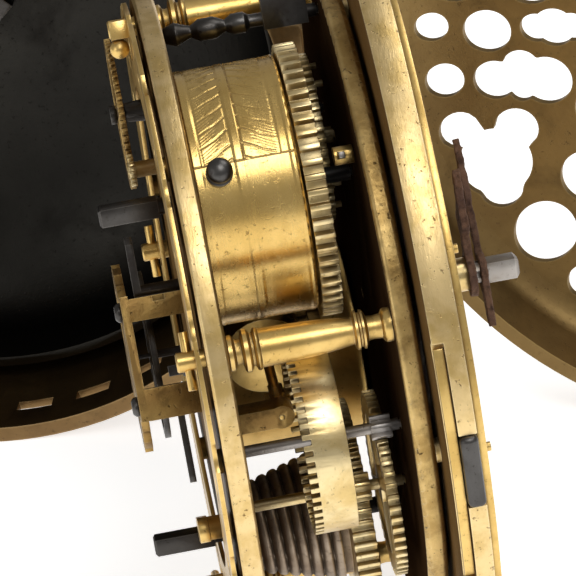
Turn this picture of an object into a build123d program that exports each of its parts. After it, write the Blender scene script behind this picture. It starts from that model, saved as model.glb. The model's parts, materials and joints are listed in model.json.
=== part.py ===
from build123d import *
from math import acos, asin, cos, degrees, hypot, pi, radians, sin, sqrt, atan2
import os

os.makedirs("parts", exist_ok=True)

# Coach clock standing open on the rims of its case, its movement ring and its cover.
# Millimetres, +Z up. The hinge pin is upright. Seen from the front (along +Y) the case bowl is on
# the left with its mouth to the front, the movement stands edge on between, and the cover is right.

# Case
case_radius = 55.0        # mouth bead of the bowl, also rim of the cover and flange of the movement
bowl_angle = 103.0        # bowl opened away from the movement
cover_angle = 62.0        # cover opened away from the movement
hinge_x = 3.1             # hinge pin from the middle of the open clock's footprint
hinge_y = 26.2
wall = 1.3
bead_height = 2.2
wall_inset = 1.2          # bead stands this far out of the wall
bowl_skirt = 15.0
bowl_dome = 34.0
cover_skirt = 7.0
cover_dome = 12.0
closing_gap = 0.1         # between mouth and flange when shut
knuckle_radius = 2.3
hinge_reach = case_radius + knuckle_radius + 0.7   # from the axis of the closed clock to the hinge pin
pin_radius = 1.1
pin_clearance = 0.05
knuckle_length = 5.0
knuckle_gap = 0.1
sound_holes = 34
sound_hole_length = 5.6
sound_hole_width = 2.3

cover_wall = 1.2
foil_radius = 5.6         # openings of the cover
foil_pitch = 13.0

# Bell and pendant
bell_radius = case_radius - wall_inset - wall - 2.9
bell_wall = 1.2
bell_lip_depth = 14.5     # lip below the mouth of the bowl
bell_skirt = 8.0
bell_dome = 21.5
stud_radius = 2.4
nut_across = 7.0
nut_height = 2.2
fit = 0.03                # radial clearance of seated pieces
pendant_depth = 12.0      # below the mouth
pendant_height = 6.0      # pin of the bow above the wall
pendant_radius = 2.4
bow_radius = 7.5
bow_rise = 6.2            # centre of the ring above its pin
bow_wire = 1.1
bow_pin_radius = 0.9

# Plates and pillars
train_turn = 29.5         # the train's axes lean this much from the horizontal
plate_radius = 45.0
back_outer, back_inner = -13.3, -10.5
pillar_inner, pillar_outer = 10.5, 13.25
ring_back, ring_front = 13.9, 17.75
dial_back, dial_front = 18.0, 19.0
ring_bore = 41.0
dial_radius = case_radius - 3.0
ring_foot_radius = 1.6
ring_foot_circle = 42.9
pillar_circle = 41.0
pillar_angles = (6, 118, 196, 276)
tenon_radius = 1.3
taper_pin_radius = 0.6
taper_pin_length = 7.5
overlay_back, overlay_front = -14.6, -14.0
overlay_radius = 44.3
overlay_bore = 33.0
spacer_radius = 1.6
plate_round = 0.7         # worn edge
tenon_end = -17.0
taper_pin_turn = 80.0     # taper pins lie nearly along the plate's edge
staff_passage = 1.4       # hole of the back plate for the balance staff
stud_at = (30.0, -18.0)
stud_pin_radius = 0.8
overlay_scallops = 16
spacer_ways = (30, 150, 215, 325)
chapter_inner = 33.0
dial_pin_ways = (-56, -4, 25)
latch_way = 26.0          # latch of the flange, from the train's x axis
bolt_back, bolt_front = 15.4, 17.75
bolt_length = 10.0
bolt_depth = 3.4
bolt_travel = 1.5
bolt_play = 0.1
bolt_nose = 0.8
spring_seat = case_radius - 1.4
spring_thick = 0.8
spring_width = 1.4
spring_sweep = 36.0

# Arbors and wheels
pivot_radius = 0.5
pivot_clearance = 0.06
strike_at = (22.0, -16.0)
contrate_at = (26.0, 17.3)
second_at = (15.0, 25.0)
fusee_at = (-1.0, 28.5)
going_at = (-26.0, 6.0)
verge_at = (1.5, 3.0)
hammer_at = (15.0, -38.0)
pin_wheel_way = 197.0      # bearings of the next arbors of the striking train
fly_way = 200.0
count_way = 222.0
square_across = 2.4
square_turn = 20.0
square_foot = -15.2       # where the squares start on their arbors
winding_end = -23.0
shake = 0.3               # end play of an arbor between the plates
stop_way = -8.0
stop_height = -7.2
detent_at = (14.0, -5.5)
knob_at = (12.5, -40.0)
square_cock_at = (9.0, 27.0)
knob_size = 2.4
hammer_way = -75.0
arbor_radius = 1.1

barrel_radius = 16.8
barrel_back, barrel_front = -10.1, 2.9
strike_teeth, strike_leaves = 57, 8
strike_module = 0.614
pin_wheel_teeth, fly_leaves = 48, 6
pin_wheel_module = 0.46
count_teeth, count_leaves = 60, 12
count_module = 0.34
strike_wheel_back, strike_wheel_front = 3.25, 5.9
second_teeth, second_leaves = 51, 7
fusee_teeth = 62
contrate_teeth, contrate_leaves, crown_leaves = 53, 6, 6
contrate_radius = 12.2
contrate_back, contrate_front = -3.05, 2.6
contrate_tooth = 1.1
contrate_wall = 1.2
fusee_wheel_back, fusee_wheel_front = 2.4, 5.5
fusee_back, fusee_front = -9.6, 1.4
fusee_small, fusee_large = 6.3, 9.4
fusee_turns = 7
second_wheel_back, second_wheel_front = 7.0, 8.5
going_radius = 14.0
crown_teeth = 13
crown_radius = 5.6
crown_height = 3.4
crown_arbor_x = -4.2
crown_tips = 2.3          # tooth tips from the staff's axis
crown_near = 1.3
crown_far = 5.0
plug_radius = 1.7
potence_rise = 14.6
staff_pivot = 0.3
staff_foot = 2.2
staff_end = 3.6
cock_reach = 13.6         # from the staff to the near side of the cock's feet
balance_radius = 11.4
balance_back, balance_front = -19.3, -18.5
table_radius = 12.8
table_back, table_front = -22.3, -21.2
foot_width = 6.0
count_back, count_front = -17.6, -16.8

# Hands and motion work
cannon_radius = 1.5
pipe_radius = 2.3
setting_end = 32.0
setting_across = 2.8       # across the flats
minute_hand_back, minute_hand_front = 26.6, 27.6
hour_hand_back, hour_hand_front = 24.9, 26.0
collar_radius = 12.5
collar_back, collar_front = 19.3, 21.6
minute_wheel_back, minute_wheel_front = 13.9, 14.7
hour_wheel_back, hour_wheel_front = 15.3, 16.2
motion_module = 0.55
motion_way = 120.0
cannon_teeth, minute_teeth, minute_leaves, hour_teeth = 10, 30, 8, 32

# Frames of the four groups. The train frame has its origin midway between the plates, its x and y
# axes across the plates and its z axis along the arbors to the dial.
hinge = Vector(hinge_x, hinge_y, case_radius)
along_p = Vector(0, -cos(radians(train_turn)), sin(radians(train_turn)))
along_q = Vector(0, -sin(radians(train_turn)), -cos(radians(train_turn)))
dial_way = Vector(1, 0, 0)
train = Plane(origin=hinge + Vector(closing_gap - ring_back, -hinge_reach, 0), x_dir=along_p, z_dir=dial_way)
bowl_way = Vector(-sin(radians(bowl_angle)), -cos(radians(bowl_angle)), 0)
bowl_deep = Vector(-cos(radians(bowl_angle)), sin(radians(bowl_angle)), 0)
bowl = Plane(origin=hinge + bowl_way * hinge_reach, x_dir=(0, 0, 1), z_dir=bowl_deep)
cover_way = Vector(sin(radians(cover_angle)), -cos(radians(cover_angle)), 0)
cover_deep = Vector(cos(radians(cover_angle)), sin(radians(cover_angle)), 0)
cover_mouth = ring_front - ring_back + 2 * closing_gap
cover = Plane(origin=hinge + cover_way * hinge_reach + cover_deep * cover_mouth, x_dir=(0, 0, 1), z_dir=cover_deep)


def across(x, at=(0, 0)):
    """Plane square to the arbors at height x, centred over a point of the train."""
    return Plane(origin=train.from_local_coords((at[0], at[1], x)), x_dir=along_p, z_dir=dial_way)


def rod(at, start, end, radius, mode=Mode.ADD):
    """Round bar along the arbors from one height to another."""
    start, end = sorted((start, end))
    with Locations(across(start, at)):
        return Cylinder(radius, end - start, align=(Align.CENTER, Align.CENTER, Align.MIN), mode=mode)


def square_bar(at, start, end, width, turn=0, mode=Mode.ADD):
    """Square bar along the arbors, turned about its own axis."""
    start, end = sorted((start, end))
    with Locations(across(start, at) * Location((0, 0, 0), (0, 0, turn))):
        return Box(width, width, end - start, align=(Align.CENTER, Align.CENTER, Align.MIN), mode=mode)


def turned(frame, *outline, mode=Mode.ADD):
    """Body turned about the z axis of a frame, from (radius, height) corners."""
    lathe = Plane(origin=frame.origin, x_dir=frame.x_dir, z_dir=frame.x_dir.cross(frame.z_dir))
    with BuildSketch(lathe) as profile:
        with BuildLine():
            Polyline(*outline, close=True)
        make_face()
    return revolve(profile.sketch, axis=Axis(frame.origin, frame.z_dir), mode=mode)


def toothed(plane, teeth, module, fill=0.24, top=0.17, addendum=0.75, dedendum=0.95, turn=0.0, bore=0.0):
    """Face of a wheel with straight-sided, square-topped teeth."""
    pitch_radius = teeth * module / 2
    tip, root = pitch_radius + addendum * module, pitch_radius - dedendum * module
    step = 2 * pi / teeth
    corners = []
    for i in range(teeth):
        middle = i * step + radians(turn)
        for share, radius in ((-fill, root), (-top, tip), (top, tip), (fill, root)):
            angle = middle + share * step
            corners.append((radius * cos(angle), radius * sin(angle)))
    with BuildSketch(plane) as face:
        with BuildLine():
            Polyline(*corners, close=True)
        make_face()
        if bore:
            Circle(bore, mode=Mode.SUBTRACT)
    return face.sketch


def crossed_out(plane, rim, hub, arm, arms=4):
    """Openings that leave the arms of a wheel."""
    with BuildSketch(plane) as openings:
        Circle(rim)
        Circle(hub, mode=Mode.SUBTRACT)
        with PolarLocations(0, arms):
            Rectangle(rim, arm, align=(Align.MIN, Align.CENTER), mode=Mode.SUBTRACT)
    return openings.sketch


def bearing(a, b):
    """Angle in degrees from one point of the train to another."""
    return degrees(atan2(b[1] - a[1], b[0] - a[0]))


def beyond(a, way, reach):
    """Point of the train at a bearing and distance from another."""
    return a[0] + reach * cos(radians(way)), a[1] + reach * sin(radians(way))


def knuckle(step, way, deep, seat, thick):
    """Hinge knuckle, counted from the lowest, with the leaf that joins it to a rim."""
    start = (step - 2.5) * (knuckle_length + knuckle_gap) + knuckle_gap / 2
    foot = hinge + Vector(0, 0, start)
    leaf = Plane(origin=foot, x_dir=way, z_dir=(0, 0, 1))
    side = 1 if leaf.y_dir.dot(deep) > 0 else -1
    reach = hinge_reach - sqrt(wall_radius ** 2 - (2.5 * knuckle_length) ** 2) + 0.2
    upright = Align.MIN if side > 0 else Align.MAX
    with BuildSketch(leaf) as section:
        with Locations((0, side * seat)):
            Rectangle(reach, thick, align=(Align.MIN, upright))
        Rectangle(knuckle_radius * 1.4, seat + thick, align=(Align.CENTER, upright))
        Circle(knuckle_radius)
        Circle(pin_radius + pin_clearance, mode=Mode.SUBTRACT)
    extrude(section.sketch, amount=knuckle_length)


wall_radius = case_radius - wall_inset

# Bowl of the case, with its mouth bead, sound holes and two knuckles
with BuildPart() as case_bowl:
    with BuildSketch(Plane(origin=bowl.origin, x_dir=bowl.x_dir, z_dir=bowl.x_dir.cross(bowl.z_dir))):
        with BuildLine():
            Polyline((0, bowl_skirt + bowl_dome - wall), (0, bowl_skirt + bowl_dome))
            EllipticalCenterArc((0, bowl_skirt), wall_radius, bowl_dome, start_angle=0, arc_size=90)
            Polyline((wall_radius, bowl_skirt), (wall_radius, bead_height), (case_radius, bead_height),
                     (case_radius, 0), (wall_radius - wall, 0), (wall_radius - wall, bowl_skirt))
            EllipticalCenterArc((0, bowl_skirt), wall_radius - wall, bowl_dome - wall, start_angle=0, arc_size=90)
        make_face()
    revolve(axis=Axis(bowl.origin, bowl.z_dir))
    knuckle(0, bowl_way, bowl_deep, 0, bead_height)
    knuckle(4, bowl_way, bowl_deep, 0, bead_height)
    holes = [bowl.location * Location((0, 0, 0), (0, 0, 360 * (i + 0.5) / sound_holes))
             * Location((wall_radius, 0, bead_height + sound_hole_width + 1.6)) for i in range(sound_holes)]
    with Locations(*holes):
        Box(4 * wall, sound_hole_length, sound_hole_width, mode=Mode.SUBTRACT)
    bowl_floor = bowl_skirt + bowl_dome - wall
    with Locations(bowl.offset(bowl_floor - wall)):
        Cylinder(stud_radius, 4 * wall, mode=Mode.SUBTRACT)
    pendant_seat = Plane(origin=bowl.from_local_coords((wall_radius, 0, pendant_depth)),
                         x_dir=bowl.y_dir, z_dir=bowl.x_dir)
    with Locations(pendant_seat):
        Cylinder(pendant_radius / 2 + fit, 4 * wall, mode=Mode.SUBTRACT)
case_bowl.part.label = "case_bowl"
export_step(case_bowl.part, "parts/case_bowl.step")

# Pin of the hinge, headed at both ends
with BuildPart() as hinge_pin:
    half = 2.5 * (knuckle_length + knuckle_gap)
    turned(Plane(origin=hinge), (0, -half - 1.6), (1.2, -half - 1.6), (pin_radius * 1.7, -half - 0.9),
           (pin_radius * 1.7, -half), (pin_radius, -half), (pin_radius, half), (pin_radius * 1.7, half),
           (pin_radius * 1.7, half + 0.9), (1.2, half + 1.6), (0, half + 1.6))
hinge_pin.part.label = "hinge_pin"
export_step(hinge_pin.part, "parts/hinge_pin.step")

# Bell nested in the bowl, open towards its mouth
bell_base = bell_lip_depth + bell_skirt
bell_floor = bell_base + bell_dome - bell_wall
with BuildPart() as bell:
    with BuildSketch(Plane(origin=bowl.origin, x_dir=bowl.x_dir, z_dir=bowl.x_dir.cross(bowl.z_dir))):
        with BuildLine():
            Line((0, bell_floor), (0, bell_floor + bell_wall))
            EllipticalCenterArc((0, bell_base), bell_radius, bell_dome, start_angle=0, arc_size=90)
            Polyline((bell_radius, bell_base), (bell_radius + 0.5, bell_lip_depth),
                     (bell_radius - bell_wall, bell_lip_depth), (bell_radius - bell_wall, bell_base))
            EllipticalCenterArc((0, bell_base), bell_radius - bell_wall, bell_dome - bell_wall,
                                start_angle=0, arc_size=90)
        make_face()
    revolve(axis=Axis(bowl.origin, bowl.z_dir))
    with Locations(bowl.offset(bell_floor)):
        Cylinder(stud_radius + fit, 4 * bell_wall, mode=Mode.SUBTRACT)
bell.part.label = "bell"
export_step(bell.part, "parts/bell.step")

# Stud that carries the bell, riveted through the bowl, and its nut
with BuildPart() as bell_stud:
    bell_back = bell_floor + bell_wall
    turned(bowl, (0, bell_floor - nut_height - 1), (stud_radius - 0.5, bell_floor - nut_height - 1),
           (stud_radius, bell_floor - nut_height - 0.5), (stud_radius, bell_back), (2 * stud_radius, bell_back),
           (2 * stud_radius, bowl_floor - 0.2), (stud_radius - fit, bowl_floor - 0.2),
           (stud_radius - fit, bowl_floor + wall), (0, bowl_floor + wall))
bell_stud.part.label = "bell_stud"
export_step(bell_stud.part, "parts/bell_stud.step")

with BuildPart() as bell_nut:
    with BuildSketch(bowl.offset(bell_floor - nut_height - 0.15)):
        RegularPolygon(nut_across / 2, 4, major_radius=False)
        Circle(stud_radius + fit, mode=Mode.SUBTRACT)
    extrude(amount=nut_height)
bell_nut.part.label = "bell_nut"
export_step(bell_nut.part, "parts/bell_nut.step")

# Pendant on the bowl's wall and the bow that swings in it
with BuildPart() as pendant:
    turned(pendant_seat, (0, -wall), (pendant_radius / 2, -wall), (pendant_radius / 2, 0.02),
           (pendant_radius * 1.6, 0.02), (pendant_radius * 1.6, 0.7), (pendant_radius * 0.8, 1.6),
           (pendant_radius * 0.8, 2.8), (pendant_radius, 3.6), (pendant_radius, pendant_height + 1.6),
           (pendant_radius * 0.6, pendant_height + 2.6), (0, pendant_height + 2.8))
    bow_pin = Plane(origin=pendant_seat.from_local_coords((0, 0, pendant_height)), x_dir=bowl.x_dir,
                    z_dir=bowl.y_dir)
    with Locations(bow_pin):
        Cylinder(bow_pin_radius + pin_clearance, 4 * pendant_radius, mode=Mode.SUBTRACT)
pendant.part.label = "pendant"
export_step(pendant.part, "parts/pendant.step")

with BuildPart() as bow:
    spread = degrees(acos(bow_rise / bow_radius))
    shoulder = sqrt(bow_radius ** 2 - bow_rise ** 2)
    ring_centre = Plane(origin=bow_pin.from_local_coords((bow_rise, 0, 0)), x_dir=-bowl.x_dir, z_dir=bowl.z_dir)
    start = ring_centre.location * Location((0, 0, 0), (0, 0, spread)) * Location((bow_radius, 0, 0))
    with BuildSketch(Plane(start * Location((0, 0, 0), (90, 0, 0)))) as wire:
        Circle(bow_wire)
    revolve(wire.sketch, axis=Axis(ring_centre.origin, ring_centre.z_dir), revolution_arc=360 - 2 * spread)
    for side in (-1, 1):
        end = Plane(origin=bow_pin.from_local_coords((0, 0, side * (shoulder + 0.3))), x_dir=bowl.x_dir,
                    z_dir=bow_pin.z_dir * -side)
        with Locations(end):
            Cylinder(bow_pin_radius, shoulder - 0.9, align=(Align.CENTER, Align.CENTER, Align.MIN))
bow.part.label = "bow"
export_step(bow.part, "parts/bow.step")

# Pierced cover: rim, two knuckles and foiled openings in the dome
with BuildPart() as cover_shell:
    with BuildSketch(Plane(origin=cover.origin, x_dir=cover.x_dir, z_dir=cover.x_dir.cross(cover.z_dir))):
        with BuildLine():
            Line((0, cover_skirt + cover_dome - cover_wall), (0, cover_skirt + cover_dome))
            EllipticalCenterArc((0, cover_skirt), wall_radius, cover_dome, start_angle=0, arc_size=90)
            Polyline((wall_radius, cover_skirt), (wall_radius, bead_height), (case_radius, bead_height),
                     (case_radius, 0), (wall_radius - cover_wall, 0), (wall_radius - cover_wall, cover_skirt))
            EllipticalCenterArc((0, cover_skirt), wall_radius - cover_wall, cover_dome - cover_wall,
                                start_angle=0, arc_size=90)
        make_face()
    revolve(axis=Axis(cover.origin, cover.z_dir))
    knuckle(1, cover_way, cover_deep, cover_mouth, bead_height)
    knuckle(3, cover_way, cover_deep, cover_mouth, bead_height)
    with BuildSketch(cover.offset(cover_skirt - 4)):
        Circle(foil_radius)
        with PolarLocations(foil_pitch, 6, start_angle=30):
            Circle(foil_radius)
        for ring, count in ((2, 12), (3, 18)):
            with PolarLocations(ring * foil_pitch * 0.985, count, start_angle=180 / count):
                with Locations((0.25 * foil_radius, 0.44 * foil_radius), (0.25 * foil_radius, -0.44 * foil_radius)):
                    Circle(0.66 * foil_radius)
                with Locations((-0.1 * foil_radius, 0)):
                    RegularPolygon(1.02 * foil_radius, 3, rotation=180)
    extrude(amount=cover_dome + 8, mode=Mode.SUBTRACT)
cover_shell.part.label = "cover"
export_step(cover_shell.part, "parts/cover.step")

# Plates, bored for the pivots
pin_wheel_at = beyond(strike_at, pin_wheel_way, (strike_teeth + strike_leaves) * strike_module / 2)
fly_at = beyond(pin_wheel_at, fly_way, (pin_wheel_teeth + fly_leaves) * pin_wheel_module / 2)
count_at = beyond(pin_wheel_at, count_way, (count_teeth + count_leaves) * count_module / 2)
minute_at = beyond((0, 0), motion_way, (cannon_teeth + minute_teeth) * motion_module / 2)
pillar_spots = [beyond((0, 0), angle, pillar_circle) for angle in pillar_angles]
hole = pivot_radius + pivot_clearance
square_hole = arbor_radius + pivot_clearance
with BuildPart() as pillar_plate:
    with BuildSketch(across(pillar_inner)):
        Circle(plate_radius)
        with Locations(*pillar_spots):
            Circle(tenon_radius + fit, mode=Mode.SUBTRACT)
        with Locations((0, 0), strike_at, contrate_at, second_at, fusee_at, going_at, hammer_at, pin_wheel_at,
                       fly_at):
            Circle(hole, mode=Mode.SUBTRACT)
    extrude(amount=pillar_outer - pillar_inner)
    rims = pillar_plate.edges().filter_by(GeomType.CIRCLE).filter_by(lambda e: e.radius > plate_radius - 1)
    fillet(rims, plate_round)
    with Locations(across(pillar_inner, stud_at)):
        Cylinder(stud_pin_radius + fit, 2 * (pillar_outer - pillar_inner), mode=Mode.SUBTRACT)
    with Locations(across(pillar_outer, minute_at)):
        Cylinder(arbor_radius + fit, 2, mode=Mode.SUBTRACT)
pillar_plate.part.label = "pillar_plate"
export_step(pillar_plate.part, "parts/pillar_plate.step")

with BuildPart() as back_plate:
    with BuildSketch(across(back_outer)):
        Circle(plate_radius)
        with Locations(*pillar_spots):
            Circle(tenon_radius + fit, mode=Mode.SUBTRACT)
        with Locations(strike_at, fusee_at, going_at, pin_wheel_at):
            Circle(square_hole, mode=Mode.SUBTRACT)
        with Locations(contrate_at, second_at, hammer_at, fly_at):
            Circle(hole, mode=Mode.SUBTRACT)
        with Locations(verge_at):
            Circle(staff_passage, mode=Mode.SUBTRACT)
    extrude(amount=back_inner - back_outer)
    rims = back_plate.edges().filter_by(GeomType.CIRCLE).filter_by(lambda e: e.radius > plate_radius - 1)
    chamfer(rims, plate_round / 2)
back_plate.part.label = "back_plate"
export_step(back_plate.part, "parts/back_plate.step")

# Four turned pillars, tenoned through both plates
with BuildPart() as pillars:
    for spot in pillar_spots:
        turned(across(0, spot), (0, tenon_end), (tenon_radius, tenon_end), (tenon_radius, back_inner),
               (2.25, back_inner), (2.25, -9.6), (1.6, -9.3), (1.6, -8.7), (2.75, -8.4), (2.75, -7.6), (2.2, -7.3),
               (2.2, -6.9), (2.75, -6.5), (2.6, -5.4), (2.3, -1.5), (1.7, 5.2), (1.65, 5.6), (2.5, 5.9), (2.5, 7.2),
               (1.6, 7.5), (1.6, 9.3), (2.15, 9.6), (2.15, pillar_inner), (tenon_radius, pillar_inner),
               (tenon_radius, pillar_outer), (0, pillar_outer))
    pin_spots = []
    for spot, angle in zip(pillar_spots, pillar_angles):
        base = across(overlay_back - 1.5 * taper_pin_radius, spot)
        pin_spots.append(Plane(origin=base.origin, x_dir=base.z_dir,
                               z_dir=base.x_dir * cos(radians(angle + taper_pin_turn))
                               + base.y_dir * sin(radians(angle + taper_pin_turn))))
    with Locations(*pin_spots):
        Cylinder(taper_pin_radius + fit, 4 * tenon_radius, mode=Mode.SUBTRACT)
pillars.part.label = "pillars"
export_step(pillars.part, "parts/pillars.step")

with BuildPart() as taper_pins:
    with Locations(*pin_spots):
        Cylinder(taper_pin_radius, taper_pin_length)
taper_pins.part.label = "taper_pins"
export_step(taper_pins.part, "parts/taper_pins.step")

# Thin pierced sheet that stands off the back plate on spacers
with BuildPart() as overlay:
    with BuildSketch(across(overlay_back)):
        Circle(overlay_radius)
        Circle(overlay_bore, mode=Mode.SUBTRACT)
        with PolarLocations(overlay_radius + 2.2, overlay_scallops):
            Circle(3.0, mode=Mode.SUBTRACT)
        with PolarLocations((overlay_radius + overlay_bore) / 2 - 0.6, overlay_scallops,
                            start_angle=180 / overlay_scallops):
            SlotOverall(4.6, 2.6, rotation=90, mode=Mode.SUBTRACT)
        with Locations(*pillar_spots):
            Circle(tenon_radius + 1.3, mode=Mode.SUBTRACT)
    extrude(amount=overlay_front - overlay_back)
    for way in spacer_ways:
        spot = beyond((0, 0), way, overlay_bore + 2.4)
        rod(spot, overlay_front, back_outer, spacer_radius)
overlay.part.label = "overlay_sheet"
export_step(overlay.part, "parts/overlay_sheet.step")

# Flange of the movement: dial ring with its knuckle, seated on the pillar plate by four feet
latch_frame = Plane(origin=train.origin, x_dir=along_p * cos(radians(latch_way)) + along_q * sin(radians(latch_way)),
                    z_dir=dial_way)
with BuildPart() as dial_ring:
    with BuildSketch(across(ring_back)):
        Circle(case_radius)
        Circle(ring_bore, mode=Mode.SUBTRACT)
    extrude(amount=ring_front - ring_back)
    with BuildSketch(across(pillar_outer)):
        with PolarLocations(ring_foot_circle, 4, start_angle=train_turn):
            Circle(ring_foot_radius)
    extrude(amount=ring_back - pillar_outer)
    knuckle(2, Vector(0, -1, 0), dial_way, closing_gap, ring_front - ring_back)
    with Locations(latch_frame.offset(bolt_back - bolt_play)):
        with Locations((case_radius, 0)):
            Box(2 * (bolt_depth + bolt_travel + bolt_play), bolt_length + 2 * bolt_play,
                bolt_front - bolt_back + 2 * bolt_play, align=(Align.CENTER, Align.CENTER, Align.MIN),
                mode=Mode.SUBTRACT)
    with BuildSketch(across(ring_back)):
        with BuildLine():
            first = CenterArc((0, 0), case_radius + 1, latch_way - spring_sweep / 2, spring_sweep)
            second = CenterArc((0, 0), spring_seat, latch_way - spring_sweep / 2, spring_sweep)
            Line(first @ 0, second @ 0)
            Line(first @ 1, second @ 1)
        make_face()
    extrude(amount=spring_width + bolt_play, mode=Mode.SUBTRACT)
dial_ring.part.label = "dial_ring"
export_step(dial_ring.part, "parts/dial_ring.step")

# Latch: sprung bolt in the flange's edge and the strip spring behind it
with BuildPart() as latch_bolt:
    with Locations(latch_frame.offset(bolt_back)):
        with Locations((case_radius - bolt_depth, 0)):
            Box(bolt_depth + 0.6, bolt_length, bolt_front - bolt_back,
                align=(Align.MIN, Align.CENTER, Align.MIN))
    nose = latch_bolt.faces().sort_by(Axis(latch_frame.origin, latch_frame.x_dir))[-1]
    fillet(nose.edges().filter_by(Axis.X), bolt_nose)
latch_bolt.part.label = "latch_bolt"
export_step(latch_bolt.part, "parts/latch_bolt.step")

with BuildPart() as latch_spring:
    with BuildSketch(across(ring_back + 0.1)):
        with BuildLine():
            sweep = spring_sweep - 1.5
            first = CenterArc((0, 0), spring_seat + fit + spring_thick, latch_way - sweep / 2, sweep)
            second = CenterArc((0, 0), spring_seat + fit, latch_way - sweep / 2, sweep)
            Line(first @ 0, second @ 0)
            Line(first @ 1, second @ 1)
        make_face()
    extrude(amount=spring_width - 0.1)
latch_spring.part.label = "latch_spring"
export_step(latch_spring.part, "parts/latch_spring.step")

# Dial: flat disc with a thinner seat behind it and a turned centre
with BuildPart() as dial:
    turned(train, (pipe_radius + 0.3, ring_front), (dial_radius - 0.8, ring_front), (dial_radius - 0.8, dial_back),
           (dial_radius, dial_back), (dial_radius, dial_front), (dial_radius - 2.2, dial_front),
           (dial_radius - 2.6, dial_front - 0.25), (chapter_inner, dial_front - 0.25),
           (chapter_inner - 0.4, dial_front), (pipe_radius + 0.3, dial_front))
    with BuildSketch(across(dial_front)):
        with Locations(*[beyond((0, 0), way, dial_radius - 1.2) for way in dial_pin_ways]):
            Circle(0.6)
    extrude(amount=0.6)
dial.part.label = "dial"
export_step(dial.part, "parts/dial.step")

# Striking barrel, which stands on the back plate, and the great wheel with its arbor and winding square
with BuildPart() as strike_barrel:
    turned(across(0, strike_at), (arbor_radius + pivot_clearance, back_inner), (barrel_radius, back_inner),
           (barrel_radius, barrel_back + 0.9), (barrel_radius - 0.25, barrel_back + 1.1),
           (barrel_radius - 0.25, barrel_front - 1.5), (barrel_radius, barrel_front - 1.3),
           (barrel_radius, barrel_front), (arbor_radius + pivot_clearance, barrel_front))
strike_barrel.part.label = "strike_barrel"
export_step(strike_barrel.part, "parts/strike_barrel.step")

strike_mesh = bearing(strike_at, pin_wheel_at)
with BuildPart() as strike_great_wheel:
    face = toothed(across(strike_wheel_back, strike_at), strike_teeth, strike_module, turn=strike_mesh,
                   bore=arbor_radius + fit)
    extrude(face, amount=strike_wheel_front - strike_wheel_back)
    extrude(crossed_out(across(strike_wheel_back, strike_at), 13.6, 9.0, 3.2, 4),
            amount=strike_wheel_front - strike_wheel_back, mode=Mode.SUBTRACT)
strike_great_wheel.part.label = "strike_great_wheel"
export_step(strike_great_wheel.part, "parts/strike_great_wheel.step")

with BuildPart() as strike_arbor:
    rod(strike_at, square_foot, pillar_inner - shake, arbor_radius)
    rod(strike_at, pillar_inner - shake, pillar_outer, pivot_radius)
    square_bar(strike_at, winding_end, square_foot, square_across, turn=square_turn)
    ends = strike_arbor.faces().sort_by(Axis.X)[0]
    chamfer(ends.edges(), 0.3)
strike_arbor.part.label = "strike_arbor"
export_step(strike_arbor.part, "parts/strike_arbor.step")

# Round-headed screw that holds the striking barrel, in the barrel's wall
with BuildPart() as barrel_screw:
    way = radians(stop_way)
    stop_frame = Plane(origin=across(stop_height, strike_at).origin,
                       x_dir=dial_way, z_dir=along_p * cos(way) + along_q * sin(way))
    turned(stop_frame.offset(barrel_radius - 0.25), (0, 0.0), (1.75, 0.0), (1.75, 0.5), (1.1, 0.7), (1.1, 1.0),
           (1.5, 1.4), (1.65, 2.1), (1.35, 2.8), (0.7, 3.2), (0, 3.25))
    with Locations(stop_frame.offset(barrel_radius + 2.6)):
        Box(0.5, 4, 1, align=(Align.CENTER, Align.CENTER, Align.MIN), mode=Mode.SUBTRACT)
barrel_screw.part.label = "barrel_screw"
export_step(barrel_screw.part, "parts/barrel_screw.step")

# Pin wheel of the striking train
with BuildPart() as pin_wheel:
    body = toothed(across(strike_wheel_back + 0.2, pin_wheel_at), strike_leaves, strike_module, fill=0.2, top=0.11,
                   addendum=0.62, dedendum=0.9, turn=strike_mesh + 180 + 180 / strike_leaves)
    extrude(body, amount=strike_wheel_front - strike_wheel_back + 0.4)
    rod(pin_wheel_at, count_back - 0.2, pillar_inner - shake, arbor_radius)
    rod(pin_wheel_at, pillar_inner - shake, pillar_outer, pivot_radius)
    rim = pin_wheel_teeth * pin_wheel_module / 2
    face = toothed(across(second_wheel_back, pin_wheel_at), pin_wheel_teeth, pin_wheel_module,
                   turn=bearing(pin_wheel_at, fly_at))
    extrude(face, amount=second_wheel_front - second_wheel_back)
    extrude(crossed_out(across(second_wheel_back, pin_wheel_at), rim - 2.4, 3.2, 1.6, 4),
            amount=second_wheel_front - second_wheel_back, mode=Mode.SUBTRACT)
    with BuildSketch(across(second_wheel_front, pin_wheel_at)):
        with PolarLocations(rim - 1.6, 8):
            Circle(0.45)
    extrude(amount=1.2)
    count_pinion = toothed(across(count_back, pin_wheel_at), count_leaves, count_module, fill=0.2, top=0.13,
                           addendum=0.6, turn=count_way)
    extrude(count_pinion, amount=count_front - count_back)
pin_wheel.part.label = "pin_wheel"
export_step(pin_wheel.part, "parts/pin_wheel.step")

# Fly that slows the striking
with BuildPart() as fly:
    pinion = toothed(across(second_wheel_back - 0.3, fly_at), fly_leaves, pin_wheel_module, fill=0.2, top=0.11,
                     addendum=0.62, dedendum=0.9, turn=fly_way + 180 + 180 / fly_leaves)
    extrude(pinion, amount=second_wheel_front - second_wheel_back + 0.6)
    rod(fly_at, back_inner + shake, pillar_inner - shake, 0.7)
    rod(fly_at, back_outer + 1, back_inner + shake, pivot_radius)
    rod(fly_at, pillar_inner - shake, pillar_outer - 1, pivot_radius)
    with Locations(across(-7.5, fly_at)):
        Box(9.0, 0.5, 11, align=(Align.CENTER, Align.CENTER, Align.MIN))
fly.part.label = "fly"
export_step(fly.part, "parts/fly.step")

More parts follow.
